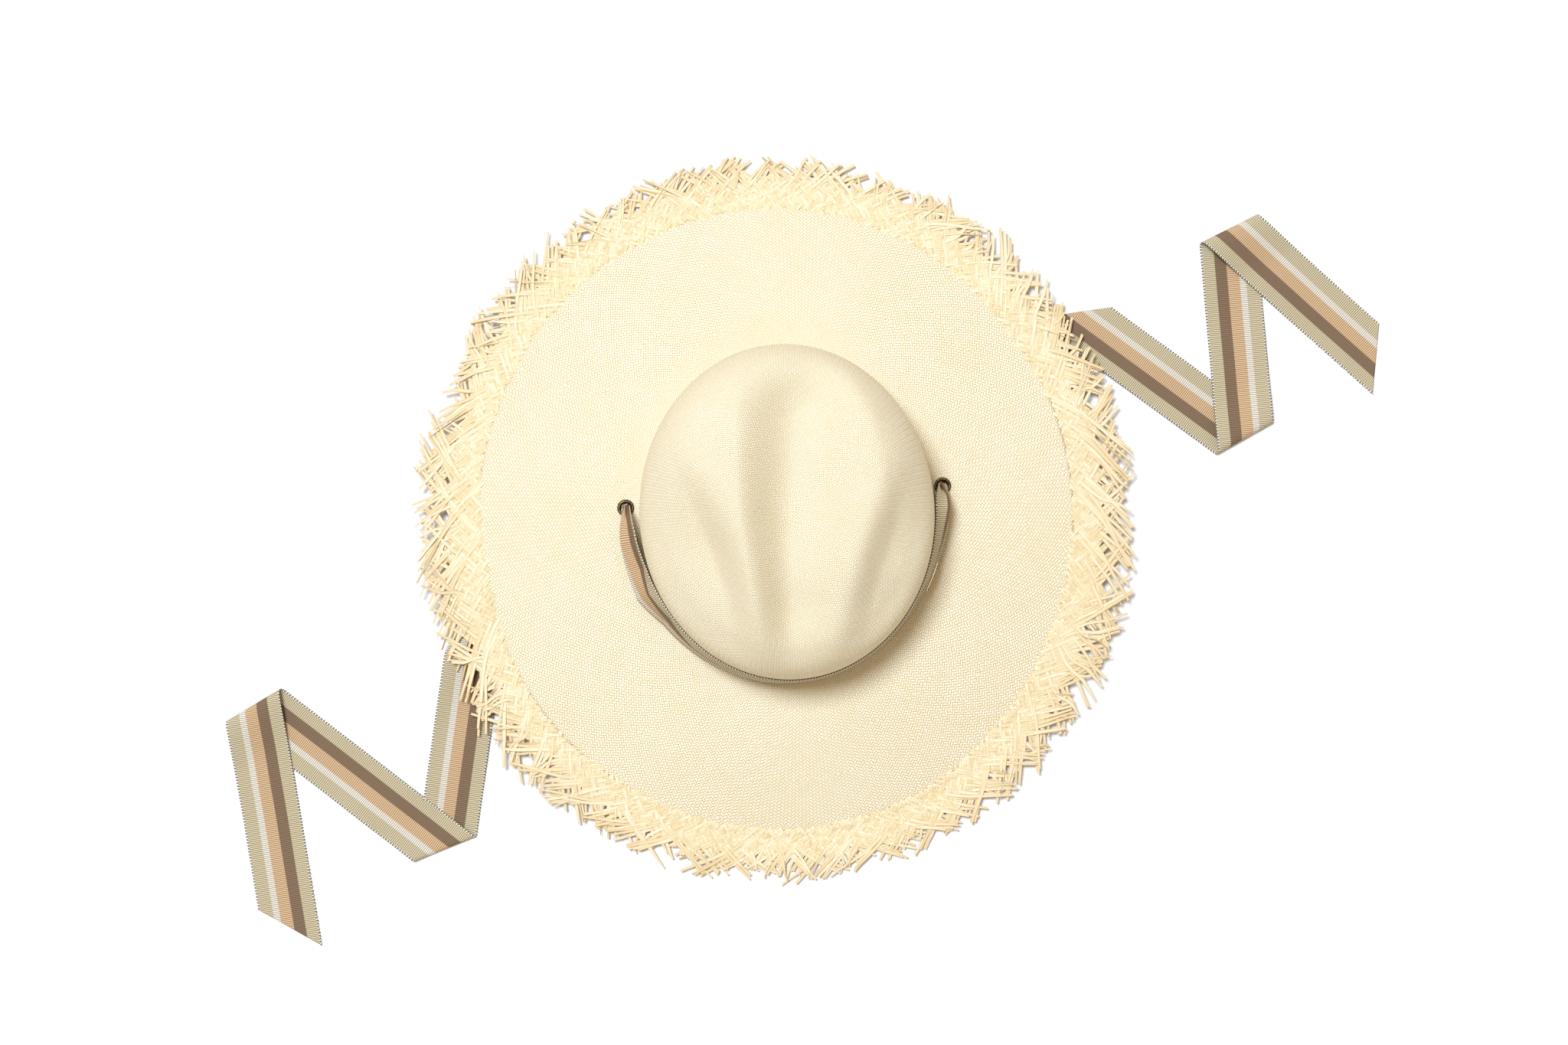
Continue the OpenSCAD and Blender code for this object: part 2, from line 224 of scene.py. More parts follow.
# %% Table top
table_top = start_piece("table_top", "plane", size=8, location=(0, 0, TABLE - 0.0002))
bpy.ops.object.transform_apply(location=True, rotation=True, scale=True)
board, tree, surface = start_material("white_board", 0.6)
grain = add_node(tree, "ShaderNodeTexNoise", {"Scale": 3.0, "Detail": 2.0})
paint(tree, surface, blend_colours(tree, grain.outputs["Fac"], "#F8F7FC", "#FBFAFE"))
table_top.data.materials.append(board)
print("table top at", round(TABLE / MM, 1), "mm")

# %% [markdown]
# ## Straw, as woven
# Toquilla straw is a bleached palm leaf split into flat ribbons about 1.4 mm wide. They
# cross at right angles, each passing over two and under two, which gives little bricks
# that step sideways from row to row. The pattern could be modelled strand by strand, but
# a hat has hundreds of metres of straw, so it is drawn by the material instead.
# Each mesh below carries a UV map counted in strands, so the material only has to find
# which strand it is on, and whether that strand is on top here. The strands run slantwise
# to the hat's rings, so the two strand counts are the sum and the difference of U and V.

# %% Woven straw material
def woven_straw(name, pale, warm, gap):
    material, tree, surface = start_material(name, 0.62, IOR=1.45)
    place = uv_parts(tree, "weave")
    first = maths(tree, "SUBTRACT", place.outputs["X"], place.outputs["Y"])
    second = maths(tree, "ADD", place.outputs["X"], place.outputs["Y"])
    i, j = maths(tree, "FLOOR", first), maths(tree, "FLOOR", second)
    over_first, over_second = maths(tree, "FRACT", first), maths(tree, "FRACT", second)
    step = maths(tree, "FLOORED_MODULO", maths(tree, "ADD", i, j), 4.0)
    first_on_top = maths(tree, "LESS_THAN", step, 1.5)

    def pick(when_first, when_second):
        made = add_node(tree, "ShaderNodeMix", {"Factor": first_on_top, 2: when_second, 3: when_first})
        return made.outputs[0]

    # A float is two strands long, so half a count is its whole length.
    along_first = maths(tree, "MULTIPLY", maths(tree, "ADD", step, over_second), 0.5)
    later = maths(tree, "SUBTRACT", step, 2.0)
    along_second = maths(tree, "MULTIPLY", maths(tree, "ADD", later, over_first), 0.5)
    along = pick(along_first, along_second)
    across = pick(over_first, over_second)
    strand = pick(i, maths(tree, "ADD", j, 5000.5))
    # A strand is arched across its width and bows up along each float.
    side = maths(tree, "ABSOLUTE", maths(tree, "MULTIPLY_ADD", across, 2.0, -1.0))
    crest = maths(tree, "SUBTRACT", 1.0, maths(tree, "POWER", side, 3.5))
    bow = maths(tree, "SINE", maths(tree, "MULTIPLY", along, math.pi))
    height = maths(tree, "MULTIPLY", crest, maths(tree, "MULTIPLY_ADD", bow, 0.7, 0.3))
    # Every strand has its own shade, and so, more faintly, has every float.
    shade = add_node(tree, "ShaderNodeTexWhiteNoise", {"W": strand}, noise_dimensions="1D")
    float_row = maths(tree, "FLOOR", maths(tree, "MULTIPLY", second, 0.5))
    float_id = add_node(tree, "ShaderNodeCombineXYZ", {"X": i, "Y": float_row}).outputs[0]
    patch = add_node(tree, "ShaderNodeTexWhiteNoise", {"Vector": float_id}, noise_dimensions="2D")
    where = object_place(tree)
    bleach = add_node(tree, "ShaderNodeTexNoise", {"Vector": where, "Scale": 18.0, "Detail": 3.0})
    tone = maths(tree, "MULTIPLY", patch.outputs["Value"], 0.35)
    tone = maths(tree, "MULTIPLY_ADD", shade.outputs["Value"], 0.55, tone)
    tone = maths(tree, "MULTIPLY_ADD", bleach.outputs["Fac"], 0.5, maths(tree, "SUBTRACT", tone, 0.2))
    straw = blend_colours(tree, tone, pale, warm)
    # The low parts of the weave, along each strand's edges and at the ends of each float, take the gap
    # colour: this is painted shade in the crevices between strands.
    depth = add_node(tree, "ShaderNodeMapRange", {0: height, 1: 0.0, 2: 0.55}).outputs[0]
    paint(tree, surface, blend_colours(tree, depth, gap, straw))
    fibre = add_node(tree, "ShaderNodeTexNoise", {"Vector": where, "Scale": 2400.0, "Detail": 1.0})
    relief = maths(tree, "MULTIPLY_ADD", fibre.outputs["Fac"], 0.12, height)
    emboss(tree, surface, 0.8, 0.0004, relief)
    return material

# The third colour is painted shade, for the gaps between the strands.
straw_weave = woven_straw("bleached_toquilla_weave", "#FEF4DC", "#F8E8C4", "#C9A064")
print("weave material has", len(straw_weave.node_tree.nodes), "nodes")

# %% [markdown]
# ## The shape of the crown and the brim
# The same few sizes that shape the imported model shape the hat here: an oval crown, 176 by
# 202 mm, with a teardrop pressed into its top and its two front sides pinched in, on a
# brim that slopes from the head line down to the table in front and behind.
# The shares inside hollow, pressed and crown_point were fitted by a program and rounded.

# %% Crown and brim, as formulas
CROWN_A, CROWN_B, CROWN_H = 88.0, 101.0, 108.0
BRIM_W, BRIM_L, SHIFT_X, SHIFT_Y = 368.0, 388.0, 7.0, 3.0
RIM_DROP, SIDE_LIFT, FLAT_PART, BEND = 18.0, 8.0, 0.25, 1.6
STRAW_T, BOXINESS, FRONT_LEAN = 1.5, 0.56, 0.05
HOLLOW, DENT_LEFT, DENT_RIGHT, FRONT_DROP = 24.0, 25.0, 22.0, 4.0   # depths in mm

def smooth(x):
    c = np.clip(x, 0, 1)
    return c * c * (3 - 2 * c)

def hollow(x, y):
    f = y / CROWN_B
    valley = CROWN_A * (0.035 + 0.114 * f + 0.077 * f * f)
    back = np.sqrt(np.maximum(0.03, 1 - np.clip((f - 0.67) / 0.31, 0, 1) ** 2))
    left, right = CROWN_A * (0.35 + 0.126 * f), CROWN_A * (0.64 - 0.065 * f - 0.387 * f * f)
    u = np.clip((x - valley) / (back * np.where(x < valley, left, right)), -1, 1)
    depth = HOLLOW * np.maximum(np.cos(u * math.pi / 2), 0) ** 1.58
    return depth * smooth((0.98 - f) / 0.43) * smooth((f + 1.05) / 0.55)

def crease(x, y, line, wide, steep, ends):
    """A crease beside a ridge, 1 at its deepest, steep towards the ridge and wide away from it."""
    f = y / CROWN_B
    off = (x / CROWN_A - (line[0] + line[1] * f + line[2] * f * f)) * math.copysign(1, line[0])
    bell = np.exp(-(off / np.where(off > 0, wide, steep)) ** 2)
    return bell * smooth((ends[0] - f) / ends[1]) * smooth((f + ends[2]) / ends[3])

def pressed(x, y):
    left = crease(x, y, (-0.605, -0.404, -0.201), 0.545, 0.157, (0.54, 0.80, 1.20, 0.89))
    right = crease(x, y, (0.770, 0.458, 0.086), 0.314, 0.143, (0.41, 0.75, 1.04, 0.57))
    return DENT_LEFT * left + DENT_RIGHT * right

def crown_point(t, s):
    c = np.maximum(np.cos(s * math.pi / 2), 0) ** BOXINESS
    w = np.sin(s * math.pi / 2) ** BOXINESS
    lean = np.where(np.sin(t) < 0, 1 - FRONT_LEAN * w, 1)
    x = CROWN_A * c * np.cos(t)
    y = CROWN_B * c * np.sin(t) * lean
    front = FRONT_DROP * smooth((-y / CROWN_B - 0.3) / 0.6)
    sunk = hollow(x, y) + pressed(x, y) + front
    return x, y, CROWN_H * w - sunk * smooth((w - 0.37) / 0.44)

def brim_height(t, f):
    edge = RIM_DROP - STRAW_T - 0.5 - SIDE_LIFT * np.cos(t) ** 2
    return -edge * np.maximum(0, (f - FLAT_PART) / (1 - FLAT_PART)) ** 1.35

def rim(t, out=0.0):
    return (BRIM_W / 2 + out) * np.cos(t) - SHIFT_X, (BRIM_L / 2 + out) * np.sin(t) - SHIFT_Y

half_way = crown_point(np.array([1.0]), np.array([0.5]))[2][0]
print("crown stands", round(float(half_way), 1), "mm at half way")

# %% [markdown]
# ## The hat's body
# A blocked hat starts as a flat woven disc that is pressed over a wooden block. The mesh
# is made the same way: a flat grid is wrapped, its columns going round the head and its
# rows running from the tip of the crown, down its side, and out to the last row of weave.
# A grid keeps its rows, so it is easy to count strands along them: after each few rings
# more straws are let in, as the weaver does, and the strands keep the same width.

# %% Wrap the grid
COLUMNS, CROWN_ROWS, BRIM_ROWS = 288, 74, 40
EDGE_ROW = 3.0      # width of the last, twined row

def profile_rows(t):
    """Rows of points in mm from the tip of the crown to the woven edge."""
    rows = []
    for k in range(CROWN_ROWS):
        s = 1 - (k / (CROWN_ROWS - 1) * 0.985 + 0.002) ** 1.75
        rows.append(np.stack(crown_point(t, np.full_like(t, s)), 1))
    for angle in (0.0, 25.0, 50.0, 75.0, 90.0):  # the tight bend where crown meets brim
        a = math.radians(angle)
        out, up = BEND * (1 - math.cos(a)), BEND * (1 - math.sin(a))
        x, y = (CROWN_A + out) * np.cos(t), (CROWN_B + out) * np.sin(t)
        rows.append(np.stack([x, y, np.full_like(t, up)], 1))
    for k in range(1, BRIM_ROWS + 1):
        f = k / BRIM_ROWS
        x1, y1 = rim(t, -EDGE_ROW)
        x0, y0 = (CROWN_A + BEND) * np.cos(t), (CROWN_B + BEND) * np.sin(t)
        g = 0.03 + 0.97 * f
        wave = 0.5 * smooth((f - 0.4) / 0.6) * (np.sin(5 * t + 1.0) + 0.6 * np.sin(9 * t))
        wave = wave * smooth((f - 0.3) * 2) * np.abs(np.cos(t))
        rows.append(np.stack([x0 + (x1 - x0) * f, y0 + (y1 - y0) * f, brim_height(t, g) + wave], 1))
    return np.array(rows)

t = np.linspace(0, 2 * math.pi, COLUMNS + 1) + math.pi / 2
hat_rows = profile_rows(t)
ROWS = len(hat_rows) - 1
steps = np.linalg.norm(np.diff(hat_rows, axis=0), axis=2)
down = np.vstack([np.zeros(COLUMNS + 1), np.cumsum(steps, axis=0)])
round_length = np.linalg.norm(np.diff(hat_rows, axis=1), axis=2).sum(1)

hat_body = start_piece("woven_hat_body", "grid", x_subdivisions=COLUMNS, y_subdivisions=ROWS, size=2)
grid, _ = mesh_arrays(hat_body)
column = np.rint((grid[:, 0] + 1) / 2 * COLUMNS).astype(int)
row = np.rint((1 - grid[:, 1]) / 2 * ROWS).astype(int)
set_points(hat_body, hat_rows[row, column])
print("grid of", COLUMNS, "columns and", ROWS, "rows")

# %% Count the strands along the rows
# The brim's strands are 1.45 mm wide and the finer crown's are 1.1 mm. More are let in
# each time the rings have grown by a sixth. An even count closes the pattern.
def strand_width(r):
    return 1.1 + 0.35 * smooth((r - (CROWN_ROWS + 2)) / 12.0)

ring_count, last_length = [], 0.0
for r in range(ROWS):
    length = (round_length[r] + round_length[r + 1]) / 2
    if not ring_count or length > last_length * 1.16 or r == CROWN_ROWS + 3:
        ring_count.append(max(4, 2 * round(length / (strand_width(r) * math.sqrt(2)) / 2)))
        last_length = length
    else:
        ring_count.append(ring_count[-1])
ring_count = np.array(ring_count)
v_step = steps / (strand_width(np.arange(ROWS))[:, None] * math.sqrt(2))
v_count = np.vstack([np.zeros(COLUMNS + 1), np.cumsum(v_step, axis=0)])

hat_body.data.uv_layers[0].name = "weave"
corner = corner_vertices(hat_body.data)
face_row = np.repeat([min(row[i] for i in p.vertices) for p in hat_body.data.polygons], 4)
u = column[corner] / COLUMNS * ring_count[face_row]
v = v_count[row[corner], column[corner]]
hat_body.data.uv_layers[0].data.foreach_set("uv", np.stack([u, v], 1).ravel())
print("strand counts round the hat:", sorted(set(ring_count.tolist())))

# %% Close the seam and the tip, and give the straw its thickness
bpy.ops.object.mode_set(mode="EDIT")
bpy.ops.mesh.select_all(action="SELECT")
bpy.ops.mesh.remove_doubles(threshold=0.00005)
bpy.ops.mesh.select_all(action="DESELECT")
bpy.ops.object.mode_set(mode="OBJECT")
work = bmesh.new()
work.from_mesh(hat_body.data)
holes = [e for e in work.edges if e.is_boundary and max(v.co.z for v in e.verts) > 0.05]
bmesh.ops.holes_fill(work, edges=holes, sides=0)
bmesh.ops.recalc_face_normals(work, faces=work.faces)
if sum(f.normal.z * f.calc_area() for f in work.faces) < 0:
    bmesh.ops.reverse_faces(work, faces=work.faces)
work.to_mesh(hat_body.data)
work.free()
bpy.ops.object.shade_smooth()
apply_modifier(hat_body, "SOLIDIFY", thickness=STRAW_T * MM, offset=-1, use_even_offset=True)
hat_body.data.materials.append(straw_weave)
print("straw", STRAW_T, "mm thick")

# %% Punch the two eyelet holes
EYELETS = {"left": Vector((-0.097, 0.010, 0)), "right": Vector((0.095, 0.010, 0))}
for side, place in EYELETS.items():
    punch = start_piece("punch", "cylinder", vertices=48, radius=0.0034, depth=0.02, location=place)
    apply_modifier(hat_body, "BOOLEAN", operation="DIFFERENCE", object=punch, solver="EXACT")
    bpy.data.objects.remove(punch)
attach(hat_body, "hat")
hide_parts("crown", "brim")
print("hat body:", len(hat_body.data.polygons), "faces")

# %% [markdown]
# ## The last row and the fringe
# On the real hat nothing is sewn at the edge. The two sets of straws that cross in the
# brim simply run on, over two and under two, then looser and looser until they lie free.
# So each fringe straw is a thin flat strip of its own that starts inside the last rows of
# the weave. One straw is modelled from a cube and copied some eleven hundred times; each
# copy gets its own bend, width, length and shade. It has only a few faces because of that.
# The twined row, two strands turned about each other, is what holds the last row shut.

# %% One straw
def cut_strip(name, pieces_long):
    """A cube cut across its length, as the start of a straw or of another bent strip."""
    strip = start_piece(name, "cube", size=1)
    bpy.ops.object.mode_set(mode="EDIT")
    for k in range(1, pieces_long):
        bpy.ops.mesh.select_all(action="SELECT")
        bpy.ops.mesh.bisect(plane_co=(k / pieces_long - 0.5, 0, 0), plane_no=(1, 0, 0))
    bpy.ops.object.mode_set(mode="OBJECT")
    return strip

def piece_from_copies(name, copies, faces, material, uv=None, rounded=False):
    """One piece from many bent copies of the same small mesh, each copy an array of points."""
    count = len(copies[0])
    mesh = bpy.data.meshes.new(name)
    every = [tuple(i + k * count for i in face) for k in range(len(copies)) for face in faces]
    mesh.from_pydata(np.concatenate(copies), [], every)
    if uv is not None:
        layer = mesh.uv_layers.new(name="grain").data
        layer.foreach_set("uv", np.concatenate(uv)[corner_vertices(mesh)].ravel())
    mesh.update()
    for polygon in mesh.polygons:
        polygon.use_smooth = rounded
    made = bpy.data.objects.new(name, mesh)
    scene.collection.objects.link(made)
    mesh.materials.append(material)
    return made

STRAW_CUTS = 11
straw_start = cut_strip("straw_start", STRAW_CUTS)
straw_shape, straw_faces = mesh_arrays(straw_start)
bpy.data.objects.remove(straw_start)
print("a straw has", len(straw_faces), "faces")

# %% [markdown]
# A loose straw is seen one at a time, so its colour runs along it: cream in the middle,
# darker tan towards its long edges, which is painted shade of the gaps where straws lie
# beside and over one another, and browner towards the dried tip. The UV map holds how far
# along the straw a point is, and across it. Each straw has its own whole number added to
# U, which the material uses to give it a tone of its own.

# %% Loose straw material
loose_straw, tree, surface = start_material("split_toquilla_leaf", 0.55, IOR=1.45)
place = uv_parts(tree, "grain")
number = maths(tree, "FLOOR", place.outputs["X"])
own = add_node(tree, "ShaderNodeTexWhiteNoise", {"W": number}, noise_dimensions="1D").outputs["Value"]
along = maths(tree, "FRACT", place.outputs["X"])
cut_edge = maths(tree, "ABSOLUTE", maths(tree, "MULTIPLY_ADD", place.outputs["Y"], 2.0, -1.0))
stretched = add_node(tree, "ShaderNodeCombineXYZ", {
    0: maths(tree, "MULTIPLY", place.outputs["X"], 5.0),
    1: maths(tree, "MULTIPLY", place.outputs["Y"], 7.0)}).outputs[0]
streaks = add_node(tree, "ShaderNodeTexNoise", {"Scale": 1.0, "Detail": 2.0, "Vector": stretched})
body = blend_colours(tree, own, "#FBEDCD", "#EFD7A8")
body = blend_colours(tree, maths(tree, "MULTIPLY", streaks.outputs["Fac"], 0.25), body, "#E6C892")
# Darker tan towards the long edges: painted shade of the gaps between the straws.
edge_shade_share = maths(tree, "MULTIPLY", maths(tree, "POWER", cut_edge, 4.0), 0.55)
body = blend_colours(tree, edge_shade_share, body, "#B98A4E")
tip_share = maths(tree, "MULTIPLY", maths(tree, "POWER", along, 4.0), 0.3)
paint(tree, surface, blend_colours(tree, tip_share, body, "#D9B075"))
emboss(tree, surface, 0.4, 0.0002, streaks.outputs["Fac"])
print("straw material has", len(tree.nodes), "nodes")

# %% Where a straw runs
EDGE_X, EDGE_Y = BRIM_W / 2, BRIM_L / 2
FRINGE_END, FRINGE_SIDE = 22.0, 31.0     # length of the fringe in front and behind, and at the sides
STRAND_W = 1.45
PITCH = STRAND_W * math.sqrt(2)          # strands of one set, measured round the rim
STRAWS = 4 * round(2 * math.pi * math.sqrt((EDGE_X ** 2 + EDGE_Y ** 2) / 2) / PITCH / 4)
OTHER_SET = 4000                         # keeps the shades of the two sets apart

def rim_frame(angle, out):
    """Point, outward direction and height of the brim's top at a distance beyond the rim."""
    x, y = rim(angle)
    n = np.stack([EDGE_Y * np.cos(angle), EDGE_X * np.sin(angle)], -1)
    n = n / np.linalg.norm(n, axis=-1, keepdims=True)
    f = np.minimum(1, 1 + out / (EDGE_X - CROWN_A))
    return np.stack([x, y], -1) + n * out[..., None], n, brim_height(angle, f)

def loose_noise(angle, seed, waves):
    """A smooth random value round the hat, between about -1 and 1."""
    draw = np.random.default_rng(seed)
    total = sum(np.sin(w * angle + draw.uniform(0, 2 * math.pi)) for w in draw.integers(*waves, 6))
    return total / 3

print(STRAWS, "straws in each set,", round(PITCH, 2), "mm apart")

# %% Lay the straws
def fringe_straws(turn, seed):
    """One set of straws. They lean one way round the hat for turn 1, the other way for -1."""
    draw = np.random.default_rng(seed)
    copies, maps = [], []
    left_in_bundle, middle = 0, 0.0
    for i in range(STRAWS):
        if left_in_bundle == 0:      # a few neighbours cling together where they were damp
            left_in_bundle = int(draw.integers(3, 7))
            middle = i + (left_in_bundle - 1) / 2
            cling = draw.uniform(0.0, 0.45)
            swing = draw.normal(0, 0.11)
            bundle_out = draw.normal(0, 2.6)
        left_in_bundle -= 1
        angle0 = 2 * math.pi * i / STRAWS + (0.5 * PITCH / EDGE_X if turn < 0 else 0)
        long = FRINGE_END + (FRINGE_SIDE - FRINGE_END) * math.cos(angle0) ** 2
        uneven = 2.0 * float(loose_noise(angle0, 3, (9, 40)))
        reach = long + bundle_out + draw.normal(0, 1.8) + uneven
        if draw.random() < 0.12:
            reach *= draw.uniform(0.45, 0.85)
        reach = min(reach, long + 7)
        width = draw.uniform(1.6, 2.4)
        roll = draw.normal(0, 0.12) if draw.random() < 0.85 else draw.normal(0, 0.7)
        lift = draw.uniform(-0.5, 0.9) + 0.5 * (bundle_out > 0)
        own_swing = swing + draw.normal(0, 0.022)
        curl = draw.normal(0, 0.05)

        f = straw_shape[:, 0] + 0.5  # 0 at the weave, 1 at the tip
        inside = draw.uniform(4.5, 8)  # how far inside the rim the straw comes to the surface
        out = -inside + (reach + inside) * f
        loose = smooth((out - 3) / 22)
        slant = 1.0 + own_swing * loose * 2.2 + curl * loose ** 2 * 3
        gather = cling * loose * (middle - i) * PITCH
        angle = angle0 + (turn * out * slant + gather) / (EDGE_X + 0.6 * np.maximum(out, 0))
        centre, n, top = rim_frame(angle, out)
        t_side = np.stack([-n[:, 1], n[:, 0]], -1)
        run = n + turn * t_side * slant[:, None]
        run = run / np.linalg.norm(run, axis=1, keepdims=True)
        across = np.stack([-run[:, 1], run[:, 0]], -1)
        # Over two and under two of the other set, fading out where the straws lie free.
        crossing = i * 2 + turn * 2 * out / PITCH
        phase = crossing * math.pi / 2 + (0 if turn > 0 else math.pi)
        weave = 0.42 * np.cos(phase) * (1 - 0.5 * loose)
        droop = 2.2 * smooth(out / 30) * math.cos(angle0) ** 2
        z = top + 0.05 + weave - droop * loose + lift * loose * 1.5
        surfaces = 3.2 + 0.35 * (inside - 4.5)     # where it comes out of the weave
        z = z - 1.5 * (1 - smooth((out + surfaces + 0.8) / 1.6))
        lowest = TABLE / MM + 0.45 + 0.5 * draw.random() + 0.8 * (turn > 0)
        z = np.maximum(z, lowest)
        taper = 1 - 0.55 * smooth((f - 0.72) / 0.28) * draw.uniform(0.4, 1)
        side = straw_shape[:, 1] * width * taper
        thick = straw_shape[:, 2] * 0.28
        turn_by = roll * loose
        flat = side * np.cos(turn_by) - thick * np.sin(turn_by)
        up = side * np.sin(turn_by) + thick * np.cos(turn_by)
        copies.append(np.column_stack([centre + across * flat[:, None], z + up]) * MM)
        number = i + (OTHER_SET if turn < 0 else 0)
        maps.append(np.column_stack([f * 0.98 + 0.01 + number, straw_shape[:, 1] + 0.5]))
    return copies, maps

one_way, one_map = fringe_straws(1, 11)
other_way, other_map = fringe_straws(-1, 12)
fringe = piece_from_copies("fringe_straws", one_way + other_way, straw_faces, loose_straw,
                           one_map + other_map)
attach(fringe, "hat")
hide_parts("fringe")
print("fringe:", len(one_way + other_way), "straws,", len(fringe.data.polygons), "faces")

# %% The twined row
def cord_loop(centre, wide, high, sides):
    """The points and faces of a closed cord along a loop of points."""
    count = len(centre)
    ahead = np.roll(centre, -1, 0) - np.roll(centre, 1, 0)
    ahead /= np.linalg.norm(ahead, axis=1, keepdims=True)
    out = np.cross(ahead, (0, 0, 1))
    out /= np.linalg.norm(out, axis=1, keepdims=True)
    up = np.cross(out, ahead)
    rings = [centre + out * wide / 2 * math.cos(a) + up * high / 2 * math.sin(a)
             for a in np.arange(sides) * 2 * math.pi / sides]
    points = np.stack(rings, 1).reshape(-1, 3)
    faces = [(i * sides + j, (i + 1) % count * sides + j,
              (i + 1) % count * sides + (j + 1) % sides, i * sides + (j + 1) % sides)
             for i in range(count) for j in range(sides)]
    return points, faces

TWISTS, CORD_SIDES = 210, 6
steps_round = TWISTS * 10
around_rim = np.arange(steps_round) / steps_round * 2 * math.pi
strand_points = []
for strand in (0, math.pi):
    phase = around_rim * TWISTS + strand
    centre, n, top = rim_frame(around_rim, -1.5 + 0.75 * np.cos(phase))
    middle = np.column_stack([centre, top - STRAW_T / 2 + 0.3 * np.sin(phase)])
    points, strand_faces = cord_loop(middle, 1.25, 0.75, CORD_SIDES)
    strand_points.append(points * MM)
along = np.repeat(np.arange(steps_round) * 0.05, CORD_SIDES)
across = np.tile(np.arange(CORD_SIDES) / CORD_SIDES, steps_round)
strand_map = [np.column_stack([along, across])] * 2
edge_row = piece_from_copies("twined_edge_row", strand_points, strand_faces, loose_straw,
                             strand_map, rounded=True)
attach(edge_row, "hat")
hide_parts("edge_row")
print("twined row:", TWISTS, "twists")

# %% [markdown]
# ## Eyelets and washers
# An eyelet is a pressed brass tube with a rolled flange. It is pushed through the straw,
# and its lower end is rolled out over a washer. A turned shape like this is drawn as its
# section and spun round an axis, which is how the press tool that made it was shaped too.

# %% Aged bronze
aged_bronze, tree, surface = start_material("aged_bronze_plated_brass", 0.38, Metallic=1.0)
wear = add_node(tree, "ShaderNodeTexNoise", {"Vector": object_place(tree), "Scale": 900.0, "Detail": 4.0})
patina = add_node(tree, "ShaderNodeMapRange", {0: wear.outputs["Fac"], 1: 0.4, 2: 0.68}).outputs[0]
paint(tree, surface, blend_colours(tree, patina, "#4A3A26", "#8A7350"))
tree.links.new(maths(tree, "MULTIPLY_ADD", wear.outputs["Fac"], 0.25, 0.25), surface.inputs["Roughness"])
print("bronze material has", len(tree.nodes), "nodes")

# %% Spin an eyelet
def spin_section(name, section, place, material, steps_around=56):
    """A closed section of (radius, height) points in mm, spun round a vertical axis."""
    made = start_piece(name, "circle", vertices=len(section), radius=1, fill_type="NOTHING")
    for vertex, (radius, height) in zip(made.data.vertices, section):
        vertex.co = (place.x + radius * MM, place.y, height * MM)
    bpy.ops.object.mode_set(mode="EDIT")
    bpy.ops.mesh.select_all(action="SELECT")
    bpy.ops.mesh.spin(steps=steps_around, angle=2 * math.pi, center=place, axis=(0, 0, 1))
    bpy.ops.mesh.select_all(action="SELECT")
    bpy.ops.mesh.remove_doubles(threshold=0.00001)
    bpy.ops.mesh.normals_make_consistent(inside=False)
    bpy.ops.object.mode_set(mode="OBJECT")
    bpy.ops.object.transform_apply(location=True, rotation=True, scale=True)
    made.data.materials.append(material)
    bpy.ops.object.shade_smooth_by_angle(angle=math.radians(40))
    return made

BORE, FLANGE, FLANGE_H, WASHER_T = 3.1, 5.2, 1.3, 0.5
ROLL = 0.25         # radius of the rolled lower end

def arc(start, stop, step):
    return [(math.cos(math.radians(a)), math.sin(math.radians(a))) for a in range(start, stop, step)]

dome = [(BORE + (FLANGE - BORE) * (0.5 + 0.5 * c), FLANGE_H * s) for c, s in arc(12, 180, 12)]
rolled_end = [(BORE + ROLL - ROLL * c, -STRAW_T - WASHER_T - 0.2 - ROLL * s) for c, s in arc(0, 181, 30)]
eyelet_section = [(FLANGE, 0.02)] + dome + [(BORE, 0.1)] + rolled_end + [(BORE + 0.5, 0.02)]
washer_section = [(3.68, -2.0), (3.68, -1.52), (4.82, -1.52), (4.92, -1.6), (4.92, -1.9), (4.82, -2.0)]
for side, place in EYELETS.items():
    eyelet = spin_section(f"rolled_eyelet_{side}", eyelet_section, place, aged_bronze)
    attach(eyelet, "hat")
    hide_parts(f"eyelet_{side}")
    washer = spin_section(f"pressed_washer_{side}", washer_section, place, aged_bronze, 40)
    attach(washer, "hat")
    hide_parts(f"eyelet_{side}_washer")
print("eyelet:", len(eyelet.data.polygons), "faces")

# %% [markdown]
# ## Sweatband
# A cotton tape is sewn inside the head opening, where it touches the forehead. It is a
# plain band, so a tube is enough to start from: it is cut across into rows, each row is
# moved to the crown's own wall, and a Solidify modifier gives the tape its thickness.

# %% Cotton tape material
cotton_tape, tree, surface = start_material("woven_cotton_twill_tape", 0.85, Sheen_Weight=0.25)
where = object_place(tree)
# Twill ridges every 0.9 mm, drawn 1.6 mm apart so that they show at this distance.
ridges = add_node(tree, "ShaderNodeTexWave", {
    "Vector": where, "Scale": 1 / 0.0016 / 6.28 * 3.1, "Distortion": 1.2, "Detail": 1.0},
    bands_direction="DIAGONAL")
mottle = add_node(tree, "ShaderNodeTexNoise", {"Vector": where, "Scale": 60.0})
tape = blend_colours(tree, mottle.outputs["Fac"], "#EFE7D6", "#E2D6BE")
ridge_share = maths(tree, "MULTIPLY", ridges.outputs["Fac"], 0.25)
paint(tree, surface, blend_colours(tree, ridge_share, tape, "#CBBD9F"))
emboss(tree, surface, 0.5, 0.0003, ridges.outputs["Fac"])
print("tape material has", len(tree.nodes), "nodes")

# %% Sweatband
def crown_wall(t, z, out):
    """Place of the crown's side at a height in mm, moved out by a distance."""
    w = np.maximum(0, z) / CROWN_H
    c = (1 - w ** (2 / BOXINESS)) ** (BOXINESS / 2)
    lean = np.where(np.sin(t) < 0, 1 - FRONT_LEAN * w, 1)
    return (CROWN_A + out) * c * np.cos(t), (CROWN_B + out) * c * np.sin(t) * lean

